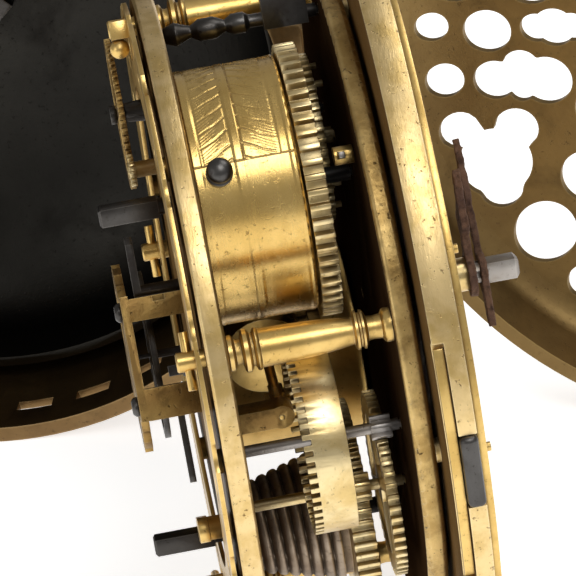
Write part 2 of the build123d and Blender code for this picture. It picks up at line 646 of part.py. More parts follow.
# Count wheel behind the back plate, on its stud
with BuildPart() as count_wheel:
    rim = count_teeth * count_module / 2
    face = toothed(across(count_back, count_at), count_teeth, count_module, fill=0.24, top=0.17, addendum=0.6,
                   turn=count_way + 180 + 180 / count_teeth, bore=stud_pin_radius + pivot_clearance)
    extrude(face, amount=count_front - count_back)
    extrude(crossed_out(across(count_back, count_at), rim - 1.8, 2.2, 1.5, 3),
            amount=count_front - count_back, mode=Mode.SUBTRACT)
count_wheel.part.label = "count_wheel"
export_step(count_wheel.part, "parts/count_wheel.step")

with BuildPart() as count_stud:
    turned(across(0, count_at), (0, count_back - 1.0), (1.3, count_back - 1.0), (1.3, count_back - 0.1),
           (stud_pin_radius, count_back - 0.1), (stud_pin_radius, count_front + 0.1), (1.3, count_front + 0.1),
           (1.6, back_outer), (0, back_outer))
count_stud.part.label = "count_stud"
export_step(count_stud.part, "parts/count_stud.step")

# Fusee with its turned steps, great wheel, arbor and winding square
mesh_ab = bearing(fusee_at, second_at)
with BuildPart() as fusee:
    pitch = (fusee_front - fusee_back) / fusee_turns
    outline = [(arbor_radius + fit, fusee_back), (fusee_small - 1.0, fusee_back)]
    for turn in range(fusee_turns):
        radius = fusee_small + (fusee_large - fusee_small) * turn / (fusee_turns - 1)
        foot = fusee_back + turn * pitch
        outline += [(radius - 0.35, foot + 0.08), (radius, foot + 0.3), (radius, foot + pitch - 0.3),
                    (radius - 0.35, foot + pitch - 0.08)]
    outline += [(fusee_large - 1.0, fusee_front), (fusee_large - 1.0, fusee_wheel_back),
                (arbor_radius + fit, fusee_wheel_back)]
    turned(across(0, fusee_at), *outline)
fusee.part.label = "fusee"
export_step(fusee.part, "parts/fusee.step")

fusee_module = 2 * hypot(second_at[0] - fusee_at[0], second_at[1] - fusee_at[1]) / (fusee_teeth + second_leaves)
with BuildPart() as fusee_wheel:
    face = toothed(across(fusee_wheel_back, fusee_at), fusee_teeth, fusee_module, turn=mesh_ab,
                   bore=arbor_radius + fit)
    extrude(face, amount=fusee_wheel_front - fusee_wheel_back)
fusee_wheel.part.label = "fusee_great_wheel"
export_step(fusee_wheel.part, "parts/fusee_great_wheel.step")

with BuildPart() as fusee_arbor:
    rod(fusee_at, square_foot, pillar_inner - shake, arbor_radius)
    rod(fusee_at, pillar_inner - shake, pillar_outer, pivot_radius)
    square_bar(fusee_at, winding_end - 0.4, square_foot, square_across, turn=square_turn)
    ends = fusee_arbor.faces().sort_by(Axis.X)[0]
    chamfer(ends.edges(), 0.3)
fusee_arbor.part.label = "fusee_arbor"
export_step(fusee_arbor.part, "parts/fusee_arbor.step")

# Going barrel, pulled by the fusee
with BuildPart() as going_barrel:
    turned(across(0, going_at), (arbor_radius + pivot_clearance, barrel_back), (going_radius, barrel_back),
           (going_radius, barrel_back + 0.8), (going_radius - 0.6, barrel_back + 0.8),
           (going_radius - 0.6, barrel_front - 0.8), (going_radius, barrel_front - 0.8),
           (going_radius, barrel_front), (arbor_radius + pivot_clearance, barrel_front))
going_barrel.part.label = "going_barrel"
export_step(going_barrel.part, "parts/going_barrel.step")

with BuildPart() as going_arbor:
    rod(going_at, back_outer - 1.4, pillar_inner - 0.3, arbor_radius)
    rod(going_at, pillar_inner - 0.3, pillar_outer, pivot_radius)
    square_bar(going_at, back_outer - 3.4, back_outer - 1.4, 1.5)
going_arbor.part.label = "going_arbor"
export_step(going_arbor.part, "parts/going_arbor.step")

# Second wheel: pinion driven by the fusee's wheel, wheel that drives the contrate pinion
second_module = 2 * hypot(contrate_at[0] - second_at[0], contrate_at[1] - second_at[1]) / (second_teeth
                                                                                         + contrate_leaves)
mesh_bc = bearing(second_at, contrate_at)
with BuildPart() as second_wheel:
    rim = second_teeth * second_module / 2
    face = toothed(across(second_wheel_back, second_at), second_teeth, second_module, turn=mesh_bc)
    extrude(face, amount=second_wheel_front - second_wheel_back)
    extrude(crossed_out(across(second_wheel_back, second_at), rim - 2.6, 2.6, 1.6, 4),
            amount=second_wheel_front - second_wheel_back, mode=Mode.SUBTRACT)
    pinion = toothed(across(contrate_front + shake, second_at), second_leaves, fusee_module, fill=0.2, top=0.11,
                     addendum=0.62, dedendum=0.9, turn=mesh_ab + 180 + 180 / second_leaves)
    extrude(pinion, amount=fusee_wheel_front - contrate_front)
    rod(second_at, back_inner + shake, pillar_inner - shake, 0.75)
    rod(second_at, back_outer + 1, back_inner + shake, pivot_radius)
    rod(second_at, pillar_inner - shake, pillar_outer - 1, pivot_radius)
second_wheel.part.label = "second_wheel"
export_step(second_wheel.part, "parts/second_wheel.step")

# Contrate wheel: a cup with its teeth standing towards the back plate
with BuildPart() as contrate_wheel:
    turned(across(0, contrate_at), (arbor_radius * 0.7 + fit, contrate_front - 1.0),
           (contrate_radius - contrate_wall, contrate_front - 1.0), (contrate_radius - contrate_wall, contrate_back),
           (contrate_radius, contrate_back), (contrate_radius, contrate_front),
           (arbor_radius * 0.7 + fit, contrate_front))
    extrude(crossed_out(across(contrate_front - 1.0, contrate_at), contrate_radius - 2.6, 2.6, 1.8, 3), amount=1.0,
            mode=Mode.SUBTRACT)
    crown_mesh = bearing(contrate_at, verge_at)
    gap = 2 * pi * contrate_radius / contrate_teeth * 0.5
    spaces = [across(contrate_back, contrate_at)
              * Location((0, 0, 0), (0, 0, crown_mesh + 360 * i / contrate_teeth))
              * Location((contrate_radius - contrate_wall / 2, 0, 0)) for i in range(contrate_teeth)]
    with Locations(*spaces):
        Box(2 * contrate_wall, gap, 2 * contrate_tooth, mode=Mode.SUBTRACT)
contrate_wheel.part.label = "contrate_wheel"
export_step(contrate_wheel.part, "parts/contrate_wheel.step")

with BuildPart() as contrate_arbor:
    rod(contrate_at, back_inner + shake, pillar_inner - shake, arbor_radius * 0.7)
    rod(contrate_at, back_outer + 1, back_inner + shake, pivot_radius)
    rod(contrate_at, pillar_inner - shake, pillar_outer - 1, pivot_radius)
    pinion = toothed(across(second_wheel_back - 0.5, contrate_at), contrate_leaves, second_module, fill=0.2,
                     top=0.11, addendum=0.62, dedendum=0.9, turn=mesh_bc + 180 + 180 / contrate_leaves)
    extrude(pinion, amount=second_wheel_front - second_wheel_back + 1.2)
contrate_arbor.part.label = "contrate_arbor"
export_step(contrate_arbor.part, "parts/contrate_arbor.step")

# Crown wheel on an arbor that lies across the plates, from the balance staff to the contrate wheel
reach = hypot(contrate_at[0] - verge_at[0], contrate_at[1] - verge_at[1])
line = radians(bearing(verge_at, contrate_at))
line_way = along_p * cos(line) + along_q * sin(line)
crown_line = Plane(origin=across(crown_arbor_x, verge_at).origin, x_dir=dial_way, z_dir=line_way)
pinion_middle = reach - contrate_radius + contrate_wall / 2
with BuildPart() as crown_wheel:
    turned(crown_line, (0, crown_near), (0.35, crown_near), (0.35, crown_tips + 1.2), (0.7, crown_tips + 1.2),
           (0.7, crown_tips + crown_height - 0.8), (crown_radius - 0.5, crown_tips + crown_height - 0.8),
           (crown_radius - 0.5, crown_tips), (crown_radius, crown_tips), (crown_radius, crown_tips + crown_height),
           (0.7, crown_tips + crown_height), (0.7, pinion_middle + 1.4), (0.35, pinion_middle + 1.4),
           (0.35, pinion_middle + crown_far), (0, pinion_middle + crown_far))
    with Locations(*[crown_line.location * Location((0, 0, crown_tips), (0, 0, 360 * (i + 0.5) / crown_teeth))
                     * Location((crown_radius, 0, 0), (45, 0, 0)) for i in range(crown_teeth)]):
        Box(2, 1.5, 1.5, mode=Mode.SUBTRACT)
    crown_module = 2 * contrate_radius / contrate_teeth
    pinion = toothed(crown_line.offset(pinion_middle - 1.3), crown_leaves, crown_module, fill=0.2, top=0.11,
                     addendum=0.56, dedendum=0.9)
    extrude(pinion, amount=2.6)
crown_wheel.part.label = "crown_wheel"
export_step(crown_wheel.part, "parts/crown_wheel.step")

# Potence and counter potence, the two brackets that hold the crown wheel's arbor and the staff
with BuildPart() as potence:
    block = Plane(origin=across(back_inner, verge_at).origin, x_dir=line_way, z_dir=dial_way)
    with BuildSketch(block):
        with Locations((-1.4, 0)):
            Rectangle(4.0, 4.4, align=(Align.MAX, Align.CENTER))
    extrude(amount=potence_rise)
    with BuildSketch(block.offset(potence_rise - 1.6)):
        with Locations((-1.4, 0)):
            Rectangle(3.4, 3.0, align=(Align.MIN, Align.CENTER))
        Circle(staff_pivot + pivot_clearance, mode=Mode.SUBTRACT)
    extrude(amount=1.6)
potence.part.label = "potence"
export_step(potence.part, "parts/potence.step")

with BuildPart() as counter_potence:
    post = Plane(origin=block.from_local_coords((pinion_middle + crown_far, 0, 0)), x_dir=line_way, z_dir=dial_way)
    with BuildSketch(post):
        Rectangle(2.6, 3.0, align=(Align.MAX, Align.CENTER))
    extrude(amount=crown_arbor_x - back_inner)
    with Locations(crown_line.offset(pinion_middle + crown_far)):
        Cylinder(plug_radius, 2.6, align=(Align.CENTER, Align.CENTER, Align.MAX))
    with Locations(crown_line.offset(pinion_middle + crown_far - 1.6)):
        Cylinder(0.35 + pivot_clearance, 5, align=(Align.CENTER, Align.CENTER, Align.CENTER), mode=Mode.SUBTRACT)
counter_potence.part.label = "counter_potence"
export_step(counter_potence.part, "parts/counter_potence.step")

# Balance with its staff and two pallets
with BuildPart() as balance:
    with BuildSketch(across(balance_back, verge_at)):
        Circle(balance_radius)
        Circle(balance_radius - 1.3, mode=Mode.SUBTRACT)
        with PolarLocations(0, 3, start_angle=20):
            Rectangle(balance_radius - 0.5, 1.2, align=(Align.MIN, Align.CENTER))
        Circle(1.6)
    extrude(amount=balance_front - balance_back)
    rod(verge_at, balance_front, staff_foot, 0.6)
    rod(verge_at, table_back + 0.3, balance_back, staff_pivot)
    rod(verge_at, staff_foot, staff_end, staff_pivot)
    for height, spread in ((crown_arbor_x - crown_radius + 0.3, -45), (crown_arbor_x + crown_radius - 0.3, 45)):
        flag = across(height, verge_at) * Location((0, 0, 0), (0, 0, degrees(line) + spread))
        with Locations(flag):
            Box(1.7, 0.4, 1.8, align=(Align.MIN, Align.CENTER, Align.CENTER))
balance.part.label = "balance"
export_step(balance.part, "parts/balance.step")

# Balance cock: pierced table, neck and two feet on the back plate
with BuildPart() as cock:
    with BuildSketch(across(table_back, verge_at)):
        Circle(table_radius)
        with Locations((table_radius - 2, 0)):
            Rectangle(cock_reach - table_radius + 2 + foot_width, 16.5, align=(Align.MIN, Align.CENTER))
        with PolarLocations(table_radius * 0.6, 7):
            SlotOverall(5.6, 3.4, rotation=90, mode=Mode.SUBTRACT)
        with PolarLocations(table_radius + 1.4, 16, start_angle=11):
            Circle(2.0, mode=Mode.SUBTRACT)
        Circle(staff_pivot + pivot_clearance, mode=Mode.SUBTRACT)
    extrude(amount=table_front - table_back)
    with BuildSketch(across(table_front, verge_at)):
        with Locations((cock_reach, -6.3)):
            Rectangle(foot_width, 3.0, align=(Align.MIN, Align.CENTER))
        with Locations((cock_reach, 6.2)):
            Rectangle(foot_width, 4.2, align=(Align.MIN, Align.CENTER))
    extrude(amount=back_outer - table_front)
    with Locations(across((table_front + back_outer) / 2, (verge_at[0] + cock_reach + foot_width,
                                                          verge_at[1] - 7.8))):
        Box(2.4, 1.6, 1.6, mode=Mode.SUBTRACT)
cock.part.label = "balance_cock"
export_step(cock.part, "parts/balance_cock.step")

with BuildPart() as cock_screws:
    for q in (-6.3, 6.2):
        head = across(table_back, (verge_at[0] + cock_reach + foot_width / 2, verge_at[1] + q))
        turned(head, (0, -0.9), (0.9, -0.9), (1.3, -0.5), (1.3, 0), (0, 0))
cock_screws.part.label = "cock_screws"
export_step(cock_screws.part, "parts/cock_screws.step")

# Steel index under the cock and the steel detent beside it
with BuildPart() as index:
    with BuildSketch(across(-17.4, (14.5, 10))):
        with BuildLine():
            Polyline((-0.6, 0.6), (0.6, 0.6), (0.35, 9.5), (0.0, 10.4), (-0.35, 9.5), close=True)
        make_face()
    extrude(amount=0.9)
    rod((14.5, 10.6), -16.5, back_outer, 0.6)
index.part.label = "index"
export_step(index.part, "parts/index.step")

with BuildPart() as detent:
    rod(detent_at, -20.2, back_outer, 0.9)
    with BuildSketch(across(-20.2, detent_at)):
        with BuildLine():
            Polyline((-0.9, 0), (0.9, 0), (1.6, -6.4), (0.2, -7.4), (-0.4, -6.6), close=True)
        make_face()
    extrude(amount=1.0)
detent.part.label = "detent"
export_step(detent.part, "parts/detent.step")

# Brackets of the back plate
with BuildPart() as knob_bracket:
    with Locations(across(overlay_back - knob_size, knob_at)):
        Box(knob_size, knob_size, knob_size, align=(Align.CENTER, Align.CENTER, Align.MIN))
    with Locations(across(overlay_back - knob_size / 2 - 0.3, (knob_at[0], knob_at[1] + knob_size))):
        Sphere(knob_size * 0.56)
knob_bracket.part.label = "knob_bracket"
export_step(knob_bracket.part, "parts/knob_bracket.step")

with BuildPart() as square_cock:
    with BuildSketch(across(-17.4, square_cock_at)):
        SlotOverall(7.0, 3.4)
    extrude(amount=1.4)
    rod((square_cock_at[0] + 1.8, square_cock_at[1]), -16.0, back_outer, 1.5)
    rod((square_cock_at[0] - 1.8, square_cock_at[1]), -16.0, back_outer, 1.5)
square_cock.part.label = "square_cock"
export_step(square_cock.part, "parts/square_cock.step")

# Small stud with its steel wedge on the pillar plate
with BuildPart() as plate_stud:
    rod(stud_at, pillar_inner, pillar_inner - 2.6, 1.2)
    rod(stud_at, pillar_outer, pillar_inner, stud_pin_radius)
    with Locations(across(pillar_inner - 1.6, stud_at)):
        Box(4, 0.84, 0.84, mode=Mode.SUBTRACT)
plate_stud.part.label = "plate_stud"
export_step(plate_stud.part, "parts/plate_stud.step")

with BuildPart() as stud_wedge:
    with Locations(across(pillar_inner - 1.6, stud_at)):
        Box(4.6, 0.8, 0.8)
stud_wedge.part.label = "stud_wedge"
export_step(stud_wedge.part, "parts/stud_wedge.step")

# Hammer of the bell on its turned arbor
with BuildPart() as hammer:
    turned(across(0, hammer_at), (0, back_outer + 1), (pivot_radius, back_outer + 1),
           (pivot_radius, back_inner + shake), (1.0, back_inner + shake), (1.6, -8.6), (1.0, -7.2), (0.8, -6.6),
           (1.5, -5.4), (1.5, -3.4), (0.8, -2.0), (1.4, -1.0), (1.4, 0.6), (0.9, 1.2), (0.9, pillar_inner - shake),
           (pivot_radius, pillar_inner - shake), (pivot_radius, pillar_outer - 1), (0, pillar_outer - 1))
    with Locations(across(3.0, hammer_at) * Location((0, 0, 0), (0, 0, hammer_way))):
        with Locations((-1.3, 0)):
            Box(5.4, 2.8, 6.0, align=(Align.MIN, Align.CENTER, Align.MIN))
hammer.part.label = "hammer"
export_step(hammer.part, "parts/hammer.step")

# Motion work under the dial
with BuildPart() as cannon_arbor:
    rod((0, 0), pillar_inner, pillar_outer + 0.3, pivot_radius)
    pinion = toothed(across(pillar_outer + 0.3), cannon_teeth, motion_module, fill=0.2, top=0.12, addendum=0.6,
                     turn=motion_way)
    extrude(pinion, amount=hour_wheel_back - pillar_outer - 0.6)
    rod((0, 0), pillar_outer + 0.3, minute_hand_front, cannon_radius)
    square_bar((0, 0), minute_hand_front, setting_end, setting_across, turn=square_turn)
    ends = cannon_arbor.faces().sort_by(Axis.X)[-1]
    chamfer(ends.edges(), 0.5)
cannon_arbor.part.label = "setting_arbor"
export_step(cannon_arbor.part, "parts/setting_arbor.step")

with BuildPart() as minute_wheel:
    face = toothed(across(minute_wheel_back, minute_at), minute_teeth, motion_module, addendum=0.6,
                   turn=motion_way + 180 + 180 / minute_teeth)
    extrude(face, amount=minute_wheel_front - minute_wheel_back)
    pinion = toothed(across(minute_wheel_front, minute_at), minute_leaves, motion_module, fill=0.2, top=0.12,
                     addendum=0.6, turn=motion_way)
    extrude(pinion, amount=hour_wheel_front + 0.3 - minute_wheel_front)
    rod(minute_at, minute_wheel_back, hour_wheel_front + 0.3, stud_pin_radius + pivot_clearance, mode=Mode.SUBTRACT)
minute_wheel.part.label = "minute_wheel"
export_step(minute_wheel.part, "parts/minute_wheel.step")

with BuildPart() as minute_stud:
    rod(minute_at, pillar_outer - 1.0, pillar_outer, arbor_radius)
    rod(minute_at, pillar_outer, hour_wheel_front + 0.5, stud_pin_radius)
    rod(minute_at, pillar_outer, minute_wheel_back - 0.1, 1.5)
minute_stud.part.label = "minute_stud"
export_step(minute_stud.part, "parts/minute_stud.step")

with BuildPart() as hour_wheel:
    face = toothed(across(hour_wheel_back), hour_teeth, motion_module, addendum=0.6,
                   turn=motion_way + 180 / hour_teeth)
    extrude(face, amount=hour_wheel_front - hour_wheel_back)
    rod((0, 0), hour_wheel_back, hour_hand_front, pipe_radius)
    rod((0, 0), hour_wheel_back, hour_hand_front, cannon_radius + pivot_clearance, mode=Mode.SUBTRACT)
hour_wheel.part.label = "hour_wheel"
export_step(hour_wheel.part, "parts/hour_wheel.step")

# Dished disc behind the hands
with BuildPart() as centre_disc:
    turned(train, (pipe_radius + fit, collar_back + 0.4), (collar_radius - 2.0, collar_back),
           (collar_radius, collar_back + 0.6), (collar_radius, collar_front), (collar_radius - 1.2, collar_front),
           (collar_radius - 3.6, collar_back + 1.2), (pipe_radius + fit, collar_back + 1.4))
centre_disc.part.label = "centre_disc"
export_step(centre_disc.part, "parts/centre_disc.step")

# Hands
with BuildPart() as minute_hand:
    with BuildSketch(across(minute_hand_back)):
        Circle(2.6)
        with BuildLine():
            Polyline((-1.2, 0), (-0.9, -7.0), (-2.2, -9.0), (-0.9, -11.0), (-3.6, -18.4), (-4.4, -18.2), (-2.4, -10.5),
                     (-3.6, -8.6), (-2.2, -6.5), (-1.6, 0), (-0.6, 7.6), (0.9, 7.6), (1.6, 0), close=True)
        make_face()
        Circle(cannon_radius + fit, mode=Mode.SUBTRACT)
    extrude(amount=minute_hand_front - minute_hand_back)
minute_hand.part.label = "minute_hand"
export_step(minute_hand.part, "parts/minute_hand.step")

with BuildPart() as hour_hand:
    with BuildSketch(across(hour_hand_back)):
        Circle(3.2)
        with BuildLine():
            Polyline((-1.3, 0), (0.4, -5.4), (-0.6, -8.2), (2.4, -9.6), (5.2, -14.2), (6.0, -13.6), (4.6, -8.8),
                     (5.2, -6.2), (2.4, -5.0), (1.8, 0), close=True)
        make_face()
        Circle(pipe_radius + fit, mode=Mode.SUBTRACT)
    extrude(amount=hour_hand_front - hour_hand_back)
hour_hand.part.label = "hour_hand"
export_step(hour_hand.part, "parts/hour_hand.step")
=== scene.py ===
# %% [markdown]
# # An open coach clock
# A coach clock is a large watch that hangs in a carriage and strikes the hours on a bell. Here it stands
# open: bowl of the case, movement edge on, pierced cover. The frame gives every piece of the clock at its
# real size and place, so this lesson only adds what a maker's hand and three hundred years add: turned
# curves, engraving, softened edges, gilding, tarnish and rust.

# %% Load the clock's frame
import json
from math import cos, floor, hypot, pi, radians, sin, sqrt

import bmesh
import bpy
from mathutils import Matrix, Vector, noise


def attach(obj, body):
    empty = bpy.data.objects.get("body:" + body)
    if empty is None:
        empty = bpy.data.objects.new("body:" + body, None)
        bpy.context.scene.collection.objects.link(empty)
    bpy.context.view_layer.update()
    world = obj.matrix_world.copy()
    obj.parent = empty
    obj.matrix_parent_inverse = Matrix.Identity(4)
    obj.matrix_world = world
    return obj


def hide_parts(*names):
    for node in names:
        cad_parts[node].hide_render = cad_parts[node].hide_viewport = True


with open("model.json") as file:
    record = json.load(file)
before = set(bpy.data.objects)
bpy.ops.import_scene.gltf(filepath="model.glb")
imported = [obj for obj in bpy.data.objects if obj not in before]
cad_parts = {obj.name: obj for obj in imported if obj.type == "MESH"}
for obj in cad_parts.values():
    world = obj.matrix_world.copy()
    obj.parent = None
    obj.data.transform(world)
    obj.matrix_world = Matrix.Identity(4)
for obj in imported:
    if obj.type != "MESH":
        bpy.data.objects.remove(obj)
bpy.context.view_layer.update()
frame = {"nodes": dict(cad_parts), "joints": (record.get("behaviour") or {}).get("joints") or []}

print("pieces in the frame:", len(frame["nodes"]))

# %% [markdown]
# The arbors of the train run across the plates, and the cover is turned about an axis of its own. A frame for
# each lets a shape be written in plain millimetres along and around that axis. Both frames hang on the hinge
# pin, which the joints give.

# %% Frames of the train and the cover
MM = 0.001
hinge = Vector(next(joint["pos_m"] for joint in frame["joints"] if joint["name"] == "movement_hinge"))
hinge_reach = 58.0
train_turn = radians(29.5)
cover_angle = radians(62.0)
train_shift = -13.8        # middle of the movement, from the hinge pin along the arbors
cover_mouth = 4.05
up = Vector((0, 0, 1))
dial_way = Vector((1, 0, 0))
along_p = Vector((0, -cos(train_turn), sin(train_turn)))
along_q = Vector((0, -sin(train_turn), -cos(train_turn)))
cover_way = Vector((sin(cover_angle), -cos(cover_angle), 0))
cover_deep = Vector((cos(cover_angle), sin(cover_angle), 0))


def placed(origin, x_way, z_way):
    """Matrix that takes millimetres in a piece's own frame to metres in the clock's frame."""
    turn = Matrix((x_way, z_way.cross(x_way), z_way)).transposed().to_4x4()
    return Matrix.Translation(origin) @ turn @ Matrix.Scale(MM, 4)


train = placed(hinge + Vector((train_shift, -hinge_reach, 0)) * MM, along_p, dial_way)
cover = placed(hinge + (cover_way * hinge_reach + cover_deep * cover_mouth) * MM, up, cover_deep)
print("middle of the movement:", tuple(round(value, 4) for value in train.translation))

# %% [markdown]
# The photograph was taken from close by with a long lens, looking down on the movement's edge, with the
# picture turned a little. The camera stands on the train's own p axis, three degrees towards the back
# plate. Setting it first means that each later piece can be judged in the photograph's frame.

# %% Camera at the photograph's angle
aim_p, aim_q, aim_x = 45.0, -2.5, -1.66
camera_distance = 537.0
camera_swing = radians(3.0)
picture_roll = 0.182
lens_length = 269.0


def look(place, way, right):
    """Camera matrix that looks against way, with its right side given."""
    right = (right - way * right.dot(way)).normalized()
    turn = Matrix((right, way.cross(right), way)).transposed().to_4x4()
    return Matrix.Translation(place) @ turn


camera_way = along_p * cos(camera_swing) - dial_way * sin(camera_swing)
seen_x = dial_way * cos(camera_swing) + along_p * sin(camera_swing)
camera_right = seen_x * sqrt(1 - picture_roll ** 2) + along_q * picture_roll
aim = train @ Vector((aim_p, aim_q, aim_x))
camera_data = bpy.data.cameras.new("camera")
camera_data.lens = lens_length
camera_data.sensor_width = 36.0
camera_data.clip_start, camera_data.clip_end = 0.02, 50
camera = bpy.data.objects.new("camera", camera_data)
camera.matrix_world = look(aim + camera_way * camera_distance * MM, camera_way, camera_right)
bpy.context.scene.collection.objects.link(camera)
bpy.context.scene.camera = camera

# %% [markdown]
# Polished brass shows what stands around it more than its own colour. A pale room all round keeps it warm,
# one large soft light above the camera gives the cream highlights, and a smaller one from the left draws
# the edges of the wheels. The floor is plain and nearly white.

# %% Studio
key_power, side_power, rim_power = 5.0, 1.6, 2.2


def soft_light(name, power, size, place, target):
    """Square soft light that looks at a point."""
    data = bpy.data.lights.new(name, "AREA")
    data.energy, data.size = power, size
    lamp = bpy.data.objects.new(name, data)
    lamp.location = place
    lamp.rotation_euler = (target - place).to_track_quat("-Z", "Y").to_euler()
    bpy.context.scene.collection.objects.link(lamp)


soft_light("key_light", key_power, 0.55, aim + (along_p * 0.75 + up * 0.62 + dial_way * 0.22), aim)
soft_light("side_light", side_power, 0.6, aim + (along_p * 0.6 + up * 0.1 - dial_way * 0.9), aim)
soft_light("rim_light", rim_power, 0.5, aim + (up * 0.9 + dial_way * 0.5 - along_p * 0.2), aim)

room = bpy.data.worlds.new("room")
room.use_nodes = True
room.node_tree.nodes["Background"].inputs["Color"].default_value = (1.0, 0.985, 0.96, 1)
room.node_tree.nodes["Background"].inputs["Strength"].default_value = 0.32
bpy.context.scene.world = room
bpy.context.scene.view_settings.view_transform = "Standard"

# %% [markdown]
# Old metal is never one colour. Three effects come back in every finish, so each is a shader node group: dirt
# in patches together with painted shade in corners and hollows, worn edges that also carry a painted
# highlight, and fine filing marks that run one way. The groups give out masks and heights only, and each metal
# keeps its own Principled shader.

# %% Shared effects


def group(name, inputs, outputs):
    """Empty shader group with float or vector sockets, and its input and output nodes."""
    tree = bpy.data.node_groups.new(name, "ShaderNodeTree")
    for label, kind, value in inputs:
        socket = tree.interface.new_socket(label, in_out="INPUT", socket_type=kind)
        socket.default_value = value
    for label in outputs:
        tree.interface.new_socket(label, in_out="OUTPUT", socket_type="NodeSocketFloat")
    return tree, tree.nodes.new("NodeGroupInput"), tree.nodes.new("NodeGroupOutput")


def math_node(tree, operation, first, second, clamp=False):
    """Math node with sockets or numbers as its two inputs. Returns its output."""
    node = tree.nodes.new("ShaderNodeMath")
    node.operation, node.use_clamp = operation, clamp
    for socket, value in zip(node.inputs, (first, second)):
        if isinstance(value, (int, float)):
            socket.default_value = value
        else:
            tree.links.new(value, socket)
    return node.outputs[0]


def noise_node(tree, vector, scale, detail=4.0, roughness=0.6, distortion=0.0):
    """Noise value, about 0 to 1, over a coordinate in metres."""
    node = tree.nodes.new("ShaderNodeTexNoise")
    tree.links.new(vector, node.inputs["Vector"])
    if isinstance(scale, (int, float)):
        node.inputs["Scale"].default_value = scale
    else:
        tree.links.new(scale, node.inputs["Scale"])
    node.inputs["Detail"].default_value = detail
    node.inputs["Roughness"].default_value = roughness
    node.inputs["Distortion"].default_value = distortion
    return node.outputs["Fac"]


def step_node(tree, value, low, high):
    """Smooth step of a value between two limits."""
    node = tree.nodes.new("ShaderNodeMapRange")
    node.interpolation_type = "SMOOTHSTEP"
    tree.links.new(value, node.inputs["Value"])
    node.inputs["From Min"].default_value, node.inputs["From Max"].default_value = low, high
    return node.outputs["Result"]


dirt_and_corner_shade, given, result = group("dirt_and_corner_shade",
                             [("Scale", "NodeSocketFloat", 180.0), ("Patches", "NodeSocketFloat", 0.5),
                                       ("Corners", "NodeSocketFloat", 1.0)], ["Mask"])
place = dirt_and_corner_shade.nodes.new("ShaderNodeTexCoord").outputs["Object"]
blotches = step_node(dirt_and_corner_shade, noise_node(dirt_and_corner_shade, place, given.outputs["Scale"], 6.0, 0.65, 0.4), 0.48, 0.72)
# Painted shade: ambient occlusion darkens the corners and hollows of each piece, on top of the dirt patches.
corner_shade_ao = dirt_and_corner_shade.nodes.new("ShaderNodeAmbientOcclusion")
corner_shade_ao.samples, corner_shade_ao.only_local = 4, True
corner_shade_ao.inputs["Distance"].default_value = 1.6 * MM
corner = math_node(dirt_and_corner_shade, "SUBTRACT", 1.0, corner_shade_ao.outputs["AO"], True)
corner = math_node(dirt_and_corner_shade, "MULTIPLY", corner, given.outputs["Corners"], True)
spread = math_node(dirt_and_corner_shade, "MULTIPLY", blotches, given.outputs["Patches"], True)
dirt_and_corner_shade.links.new(math_node(dirt_and_corner_shade, "MAXIMUM", corner, spread), result.inputs["Mask"])

# Worn edges with a painted highlight: the bevel mask finds every edge, convex or hollow, and lightens it.
wear_and_highlight, given, result = group("edge wear", [("Width", "NodeSocketFloat", 0.25 * MM)], ["Edge"])
rounded = wear_and_highlight.nodes.new("ShaderNodeBevel")
rounded.samples = 4
wear_and_highlight.links.new(given.outputs["Width"], rounded.inputs["Radius"])
facing = wear_and_highlight.nodes.new("ShaderNodeVectorMath")
facing.operation = "DOT_PRODUCT"
wear_and_highlight.links.new(rounded.outputs["Normal"], facing.inputs[0])
wear_and_highlight.links.new(wear_and_highlight.nodes.new("ShaderNodeNewGeometry").outputs["Normal"], facing.inputs[1])
turned_away = math_node(wear_and_highlight, "SUBTRACT", 1.0, facing.outputs["Value"])
wear_and_highlight.links.new(math_node(wear_and_highlight, "MULTIPLY", turned_away, 5.0, True), result.inputs["Edge"])

filing, given, result = group("filing", [("Stretch", "NodeSocketVector", (1.0, 1.0, 1.0)),
                                         ("Fineness", "NodeSocketFloat", 900.0)], ["Height", "Speckle"])
place = filing.nodes.new("ShaderNodeTexCoord").outputs["Object"]
drawn = filing.nodes.new("ShaderNodeVectorMath")
drawn.operation = "MULTIPLY"
filing.links.new(place, drawn.inputs[0])
filing.links.new(given.outputs["Stretch"], drawn.inputs[1])
filing.links.new(noise_node(filing, drawn.outputs[0], given.outputs["Fineness"], 5.0, 0.7),
                 result.inputs["Height"])
filing.links.new(step_node(filing, noise_node(filing, place, 1400.0, 3.0, 0.7), 0.60, 0.72),
                 result.inputs["Speckle"])

# %% [markdown]
# One function mixes the three effects into a metal. Its colours are the clean metal, the same metal gone dull,
# and a dark colour for the dirt and for the shade painted into its corners and onto its faces square to the
# arbors. Fire-gilt brass, the case's own darker brass, blued and plain steel and rusty iron differ only in
# these colours and in how rough, dirty and shaded they are.

# %% Metals


def colour_mix(tree, share, first, second):
    """Colour between two colours or colour sockets."""
    node = tree.nodes.new("ShaderNodeMix")
    node.data_type = "RGBA"
    tree.links.new(share, node.inputs[0])
    for socket, value in ((node.inputs[6], first), (node.inputs[7], second)):
        if isinstance(value, tuple):
            socket.default_value = (*value, 1)
        else:
            tree.links.new(value, socket)
    return node.outputs[2]


